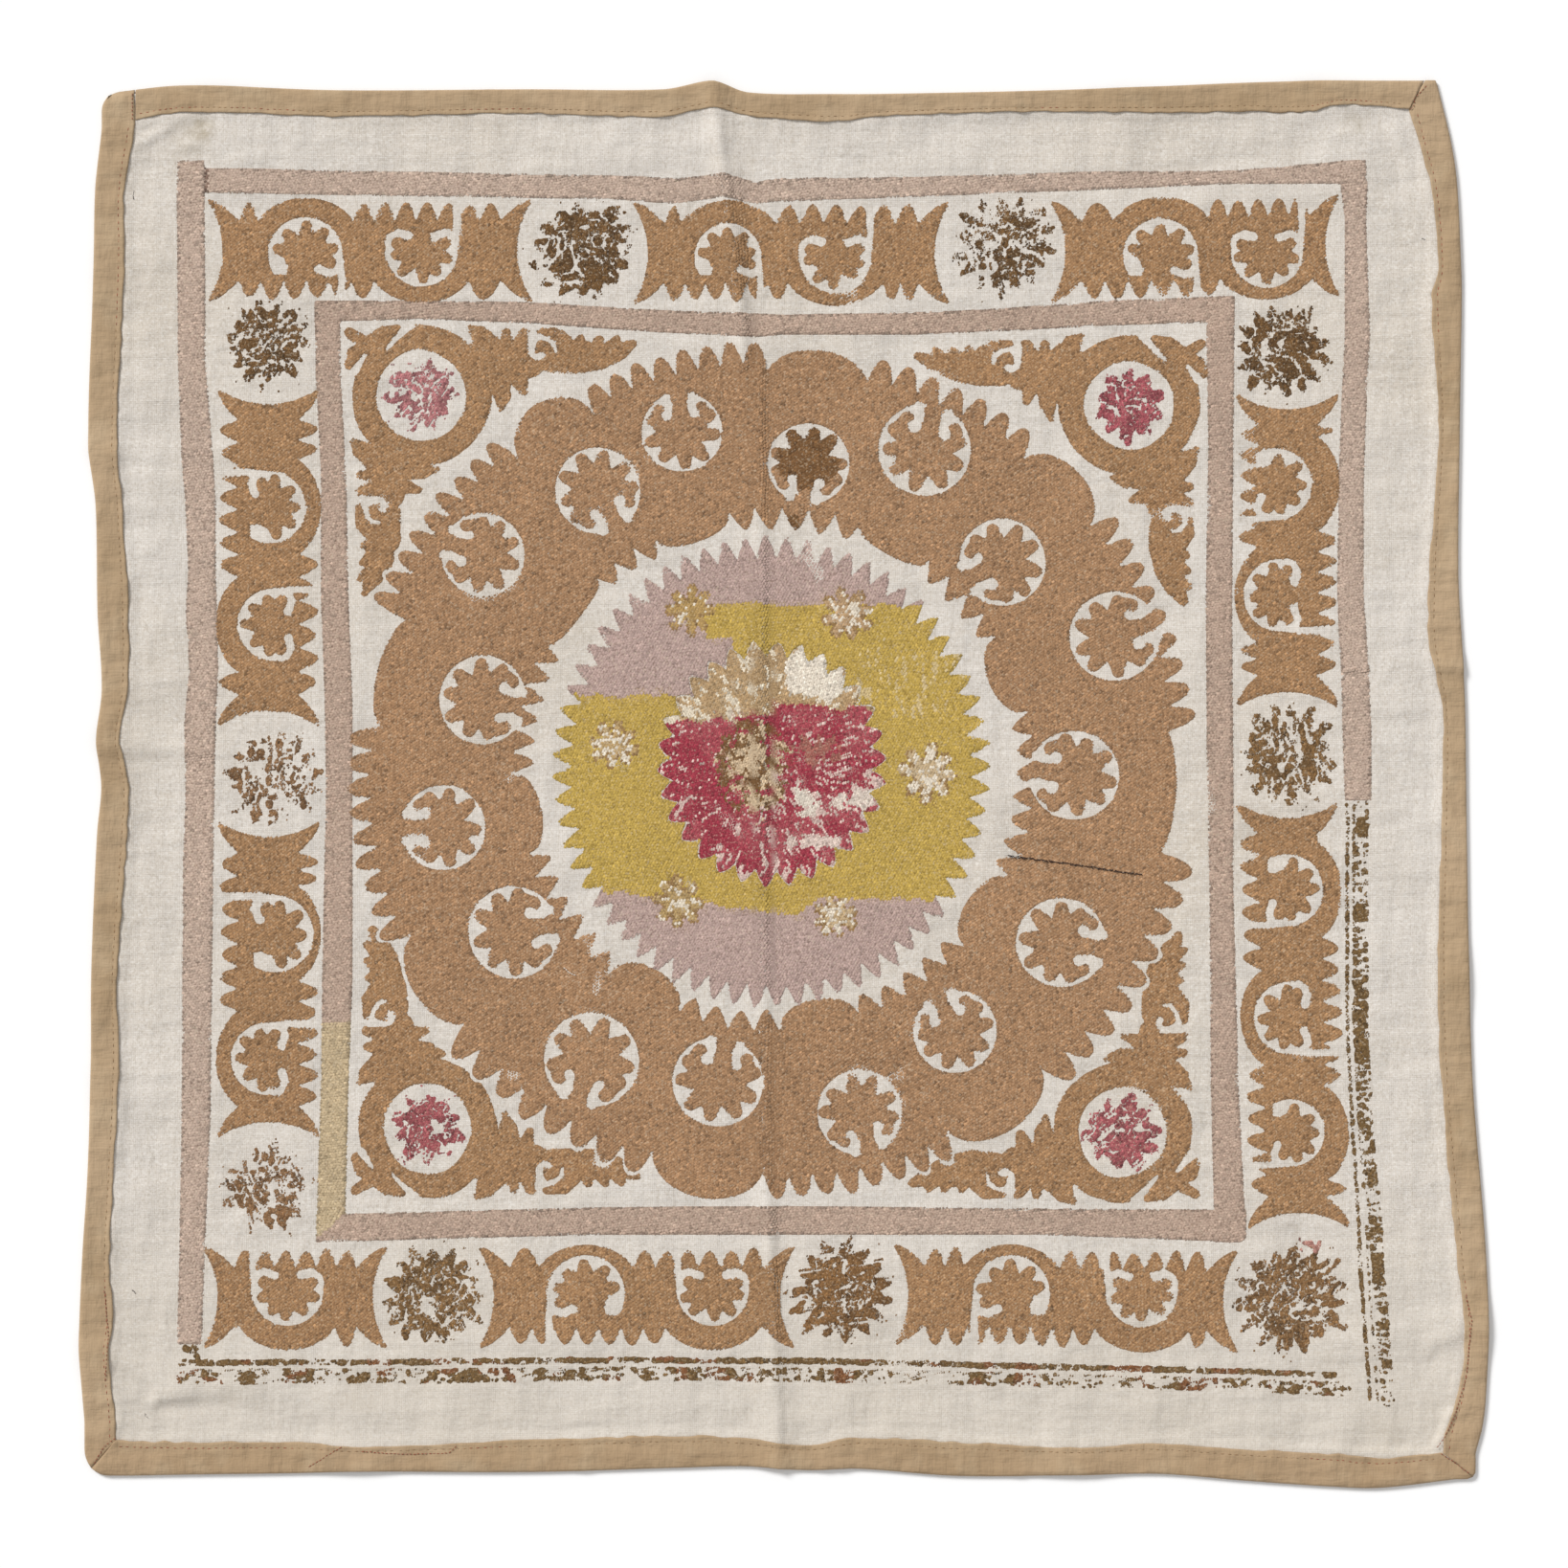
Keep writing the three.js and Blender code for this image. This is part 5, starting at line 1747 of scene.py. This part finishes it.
def blend_painted_weave_shade(tree, weave, colour, share, tone):
    """Blends a darker tone into the hollows of the weave: painted shade where the threads dip."""
    gaps = add_node(tree, "ShaderNodeMapRange", {"Value": weave, "To Min": share, "To Max": 0.0})
    return blend_colours(tree, gaps.outputs[0], colour, linear(*tone))


def blend_low_edge(tree, where, colour, start, end, tone):
    """Blends a tone in towards the lower edge of the cloth, between two places along Y in metres."""
    upward = add_node(tree, "ShaderNodeSeparateXYZ", {"Vector": where}).outputs["Y"]
    levels = {"Value": upward, "From Min": start, "From Max": end, "To Max": LOW_EDGE_SHARE}
    lower = add_node(tree, "ShaderNodeMapRange", levels)
    return blend_colours(tree, lower.outputs[0], colour, linear(*tone))


def bump_normal(tree, height, strength, distance, **inputs):
    """Normal of a height; distance is in metres."""
    inputs.update(Height=height, Strength=strength, Distance=distance)
    return add_node(tree, "ShaderNodeBump", inputs).outputs[0]


def weave_height(tree, where, thread, uneven):
    """Height of a plain weave with uneven threads; thread is its pitch in metres."""
    per_metre = 1 / thread
    warped = add_node(tree, "ShaderNodeTexNoise", {"Vector": where, "Scale": per_metre * 0.09, "Detail": 2.0})
    shift = add_node(
        tree, "ShaderNodeVectorMath", {0: warped.outputs[1], 1: (thread * uneven,) * 3}, operation="MULTIPLY")
    moved = add_node(tree, "ShaderNodeVectorMath", {0: where, 1: shift.outputs[0]}, operation="ADD")
    waves = []
    for axis in ("X", "Y"):
        wave = add_node(
            tree, "ShaderNodeTexWave", {"Vector": moved.outputs[0], "Scale": per_metre / 2 / math.pi},
            wave_type="BANDS", bands_direction=axis, wave_profile="SIN")
        waves.append(wave.outputs["Fac"])
    both = add_node(tree, "ShaderNodeMath", {0: waves[0], 1: waves[1]}, operation="MULTIPLY")
    return both.outputs[0]


def crinkle_bump(tree, where, scale, height):
    """Normal of soft crinkles in two directions; height is in metres."""
    level = noise_band(tree, where, scale, 0.0, 1.0, stretch=(0.5, 1.6, 1), detail=4.0)
    upright = noise_band(tree, where, scale, 0.0, 1.0, stretch=(1.5, 0.6, 1), detail=4.0)
    both = add_node(tree, "ShaderNodeMath", {0: level, 1: upright}, operation="ADD")
    return bump_normal(tree, both.outputs[0], 0.6, height)


# Stains of the linen: middle, reach and share
STAINS = table("at reach share", [
    ((-455, 514), 14, 0.95), ((-466, 508), 24, 0.4), ((446, 519), 16, 0.4),
    ((-425, -470), 30, 0.12), ((470, -505), 26, 0.16), ((-529, -10), 24, 0.14),
])


# Tones of the cloths: scale, low, high, stretch, detail, share and colour of each band of noise
EVEN = (1, 1, 1)
LINEN = (221, 214, 206)
LINEN_TONES = [
    (4.5, 0.42, 0.8, EVEN, 4.0, 0.7, (212, 200, 183)),
    (60, 0.5, 0.75, (0.6, 14.0, 1), 2.0, 0.35, (236, 231, 224)),
    (60, 0.5, 0.75, (14.0, 0.6, 1), 2.0, 0.35, (201, 191, 176)),
    (760, 0.5, 0.68, (1.0, 0.6, 1), 1.0, 0.4, (178, 166, 150)),
    (700, 0.52, 0.7, (0.6, 1.0, 1), 1.0, 0.5, (244, 240, 234)),
]
LINEN_SOIL = [(14, 0.62, 0.8, EVEN, 5.0, 0.25, (176, 160, 136))]
STAIN_TONE = linear(150, 136, 108)
COTTON = (187, 162, 131)
COTTON_CLOUDS = [(9, 0.35, 0.7, EVEN, 4.0, 1.0, (170, 145, 113))]
COTTON_STREAKS = [(120, 0.5, 0.75, (0.3, 0.3, 1), 2.0, 0.4, (204, 183, 152))]
YARN_SHADOW = linear(150, 132, 116)
YARN_LIGHT = [(540, 0.56, 0.72, EVEN, 1.0, 0.28, (226, 210, 184))]
LOW_EDGE_SHARE = 0.4


def blend_stain(tree, where, colour, stain):
    """Blends in one patchy stain that fades out to its reach."""
    middle = (*placed(*np.array([*stain["at"], 0.0]))[0][:2], 0.0)
    flat = add_node(tree, "ShaderNodeVectorMath", {0: where, 1: (1, 1, 0)}, operation="MULTIPLY")
    away = add_node(tree, "ShaderNodeVectorMath", {0: flat.outputs[0], 1: middle}, operation="DISTANCE")
    fall = {"Value": away.outputs["Value"], "From Max": stain["reach"] / METRE}
    fall.update({"To Min": stain["share"], "To Max": 0.0})
    share = add_node(tree, "ShaderNodeMapRange", fall, interpolation_type="SMOOTHSTEP")
    patchy = noise_band(tree, where, 120, 0.3, 0.7, detail=4.0)
    amount = add_node(tree, "ShaderNodeMath", {0: share.outputs[0], 1: patchy}, operation="MULTIPLY")
    return blend_colours(tree, amount.outputs[0], colour, STAIN_TONE)


def linen_material():
    material, tree, where = new_material("linen_weave")
    colour = blend_tones(tree, where, linear(*LINEN), LINEN_TONES)
    weave = weave_height(tree, where, 0.0007, 1.2)
    # Painted shade in the hollows of the linen weave
    colour = blend_painted_weave_shade(tree, weave, colour, 0.22, (150, 136, 116))
    colour = blend_low_edge(tree, where, colour, -0.32, -0.5, (200, 190, 175))
    for stain in STAINS:
        colour = blend_stain(tree, where, colour, stain)
    colour = blend_tones(tree, where, colour, LINEN_SOIL)
    crinkles = crinkle_bump(tree, where, 17.0, 0.009)
    fine = add_node(tree, "ShaderNodeTexNoise", {"Vector": where, "Scale": 700.0, "Detail": 2.0})
    height = add_node(tree, "ShaderNodeMath", {0: weave, 1: fine.outputs[0]}, operation="ADD")
    normal = bump_normal(tree, height.outputs[0], 0.5, 0.00025, Normal=crinkles)
    set_shader(tree, 0.92, 0.2, colour, normal, **{"Sheen Weight": 0.12, "Sheen Roughness": 0.5})
    return material


def binding_material():
    material, tree, where = new_material("binding_cotton")
    colour = blend_tones(tree, where, linear(*COTTON), COTTON_CLOUDS)
    colour = blend_low_edge(tree, where, colour, -0.5, -0.53, (164, 136, 104))
    colour = blend_tones(tree, where, colour, COTTON_STREAKS)
    weave = weave_height(tree, where, 0.0006, 1.0)
    colour = blend_painted_weave_shade(tree, weave, colour, 0.2, (120, 92, 62))
    # Painted shade in the hollows of the cotton weave
    crinkles = crinkle_bump(tree, where, 42.0, 0.006)
    normal = bump_normal(tree, weave, 0.45, 0.0002, Normal=crinkles)
    set_shader(tree, 0.88, 0.22, colour, normal, **{"Sheen Weight": 0.1})
    return material


def yarn_material():
    """Yarn that takes its colour from each stitch and adds fine fibres and specks."""
    material, tree, where = new_material("embroidery_yarn")
    yarn = add_node(tree, "ShaderNodeAttribute", attribute_name="shade").outputs["Color"]
    dark = noise_band(tree, where, 620, 0.5, 0.68, detail=1.0, share=0.5)
    darker = blend_colours(tree, 1.0, yarn, YARN_SHADOW, mode="MULTIPLY")
    colour = blend_tones(tree, where, blend_colours(tree, dark, yarn, darker), YARN_LIGHT)
    fibre = add_node(tree, "ShaderNodeTexNoise", {"Vector": where, "Scale": 900.0, "Detail": 2.0})
    normal = bump_normal(tree, fibre.outputs[0], 0.5, 0.0004)
    set_shader(tree, 0.8, 0.25, colour, normal, **{"Sheen Weight": 0.08})
    return material


def floor_material():
    material = bpy.data.materials.new("pale_floor")
    material.use_nodes = True
    set_shader(material.node_tree, 1.0, 0.0, **{"Base Color": (0.95, 0.95, 0.95, 1)})
    return material


# Camera, light and floor; the floor's reach and level are in metres
FLOOR_REACH = 6.0
FLOOR_LEVEL = -0.0002


def build_camera():
    data = bpy.data.cameras.new("camera")
    data.lens = LENS
    data.sensor_width = SENSOR
    data.clip_end = VIEW_END
    camera = bpy.data.objects.new("camera", data)
    bpy.context.scene.collection.objects.link(camera)
    away = VIEW_WIDTH * LENS / SENSOR / METRE
    camera.location = (VIEW_MIDDLE[0] / METRE, VIEW_MIDDLE[1] / METRE, away)
    bpy.context.scene.camera = camera


def build_light():
    sun = bpy.data.lights.new("key", "SUN")
    sun.energy = KEY_STRENGTH
    sun.angle = KEY_SOFTNESS
    key = bpy.data.objects.new("key", sun)
    key.rotation_euler = KEY_FROM.to_track_quat("Z", "Y").to_euler()
    bpy.context.scene.collection.objects.link(key)
    world = bpy.data.worlds.new("sky")
    world.use_nodes = True
    sky = world.node_tree.nodes["Background"]
    sky.inputs[0].default_value = (1, 1, 1, 1)
    sky.inputs[1].default_value = SKY_STRENGTH
    bpy.context.scene.world = world
    bpy.context.scene.view_settings.view_transform = "Standard"


def build_floor():
    corners = np.array([(-1, -1), (1, -1), (1, 1), (-1, 1)]) * FLOOR_REACH
    points = np.column_stack([corners, np.full(4, FLOOR_LEVEL)])
    floor = mesh_object("floor", points, [[0, 1, 2, 3]], floor_material())


build_camera()
build_light()
build_floor()
linen = linen_material()
cotton = binding_material()
yarn = yarn_material()

ground = build_ground(linen)
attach(ground, "root")
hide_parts("ground_cloth")

STRIPS = table("side along_x positive seed", [
    ("top", True, True, 31), ("bottom", True, False, 37),
    ("left", False, False, 41), ("right", False, True, 47),
])
for strip in STRIPS:
    piece = build_strip("strip_" + strip["side"], strip["along_x"], strip["positive"], cotton, strip["seed"])
    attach(piece, "root")
    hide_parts("binding_" + strip["side"])

EMBROIDERY = [
    ("bands", lay_bands, "bands"), ("border", lay_border, "border"), ("sprays", lay_sprays, "border"),
    ("wreath", lay_wreath, "wreath"), ("medallion", lay_medallion, "medallion"),
    ("rosette", lay_rosette, "rosette"), ("flowers", lay_flowers, "flowers"),
    ("worn_strips", lay_worn_strips, "flowers"),
]
FINE_STYLES = ("rosette", "flowers")
FINE_STEP = 1.0
WIDE_STEP = 1.5
stitched = [build_threads(STRIPS, yarn)]
for i, (name, lay, style) in enumerate(EMBROIDERY):
    layer = Layer(FINE_STEP if style in FINE_STYLES else WIDE_STEP)
    lay(layer)
    stitched.append(embroider("stitched_" + name, layer, STYLES[style], yarn, 600 + 10 * i))
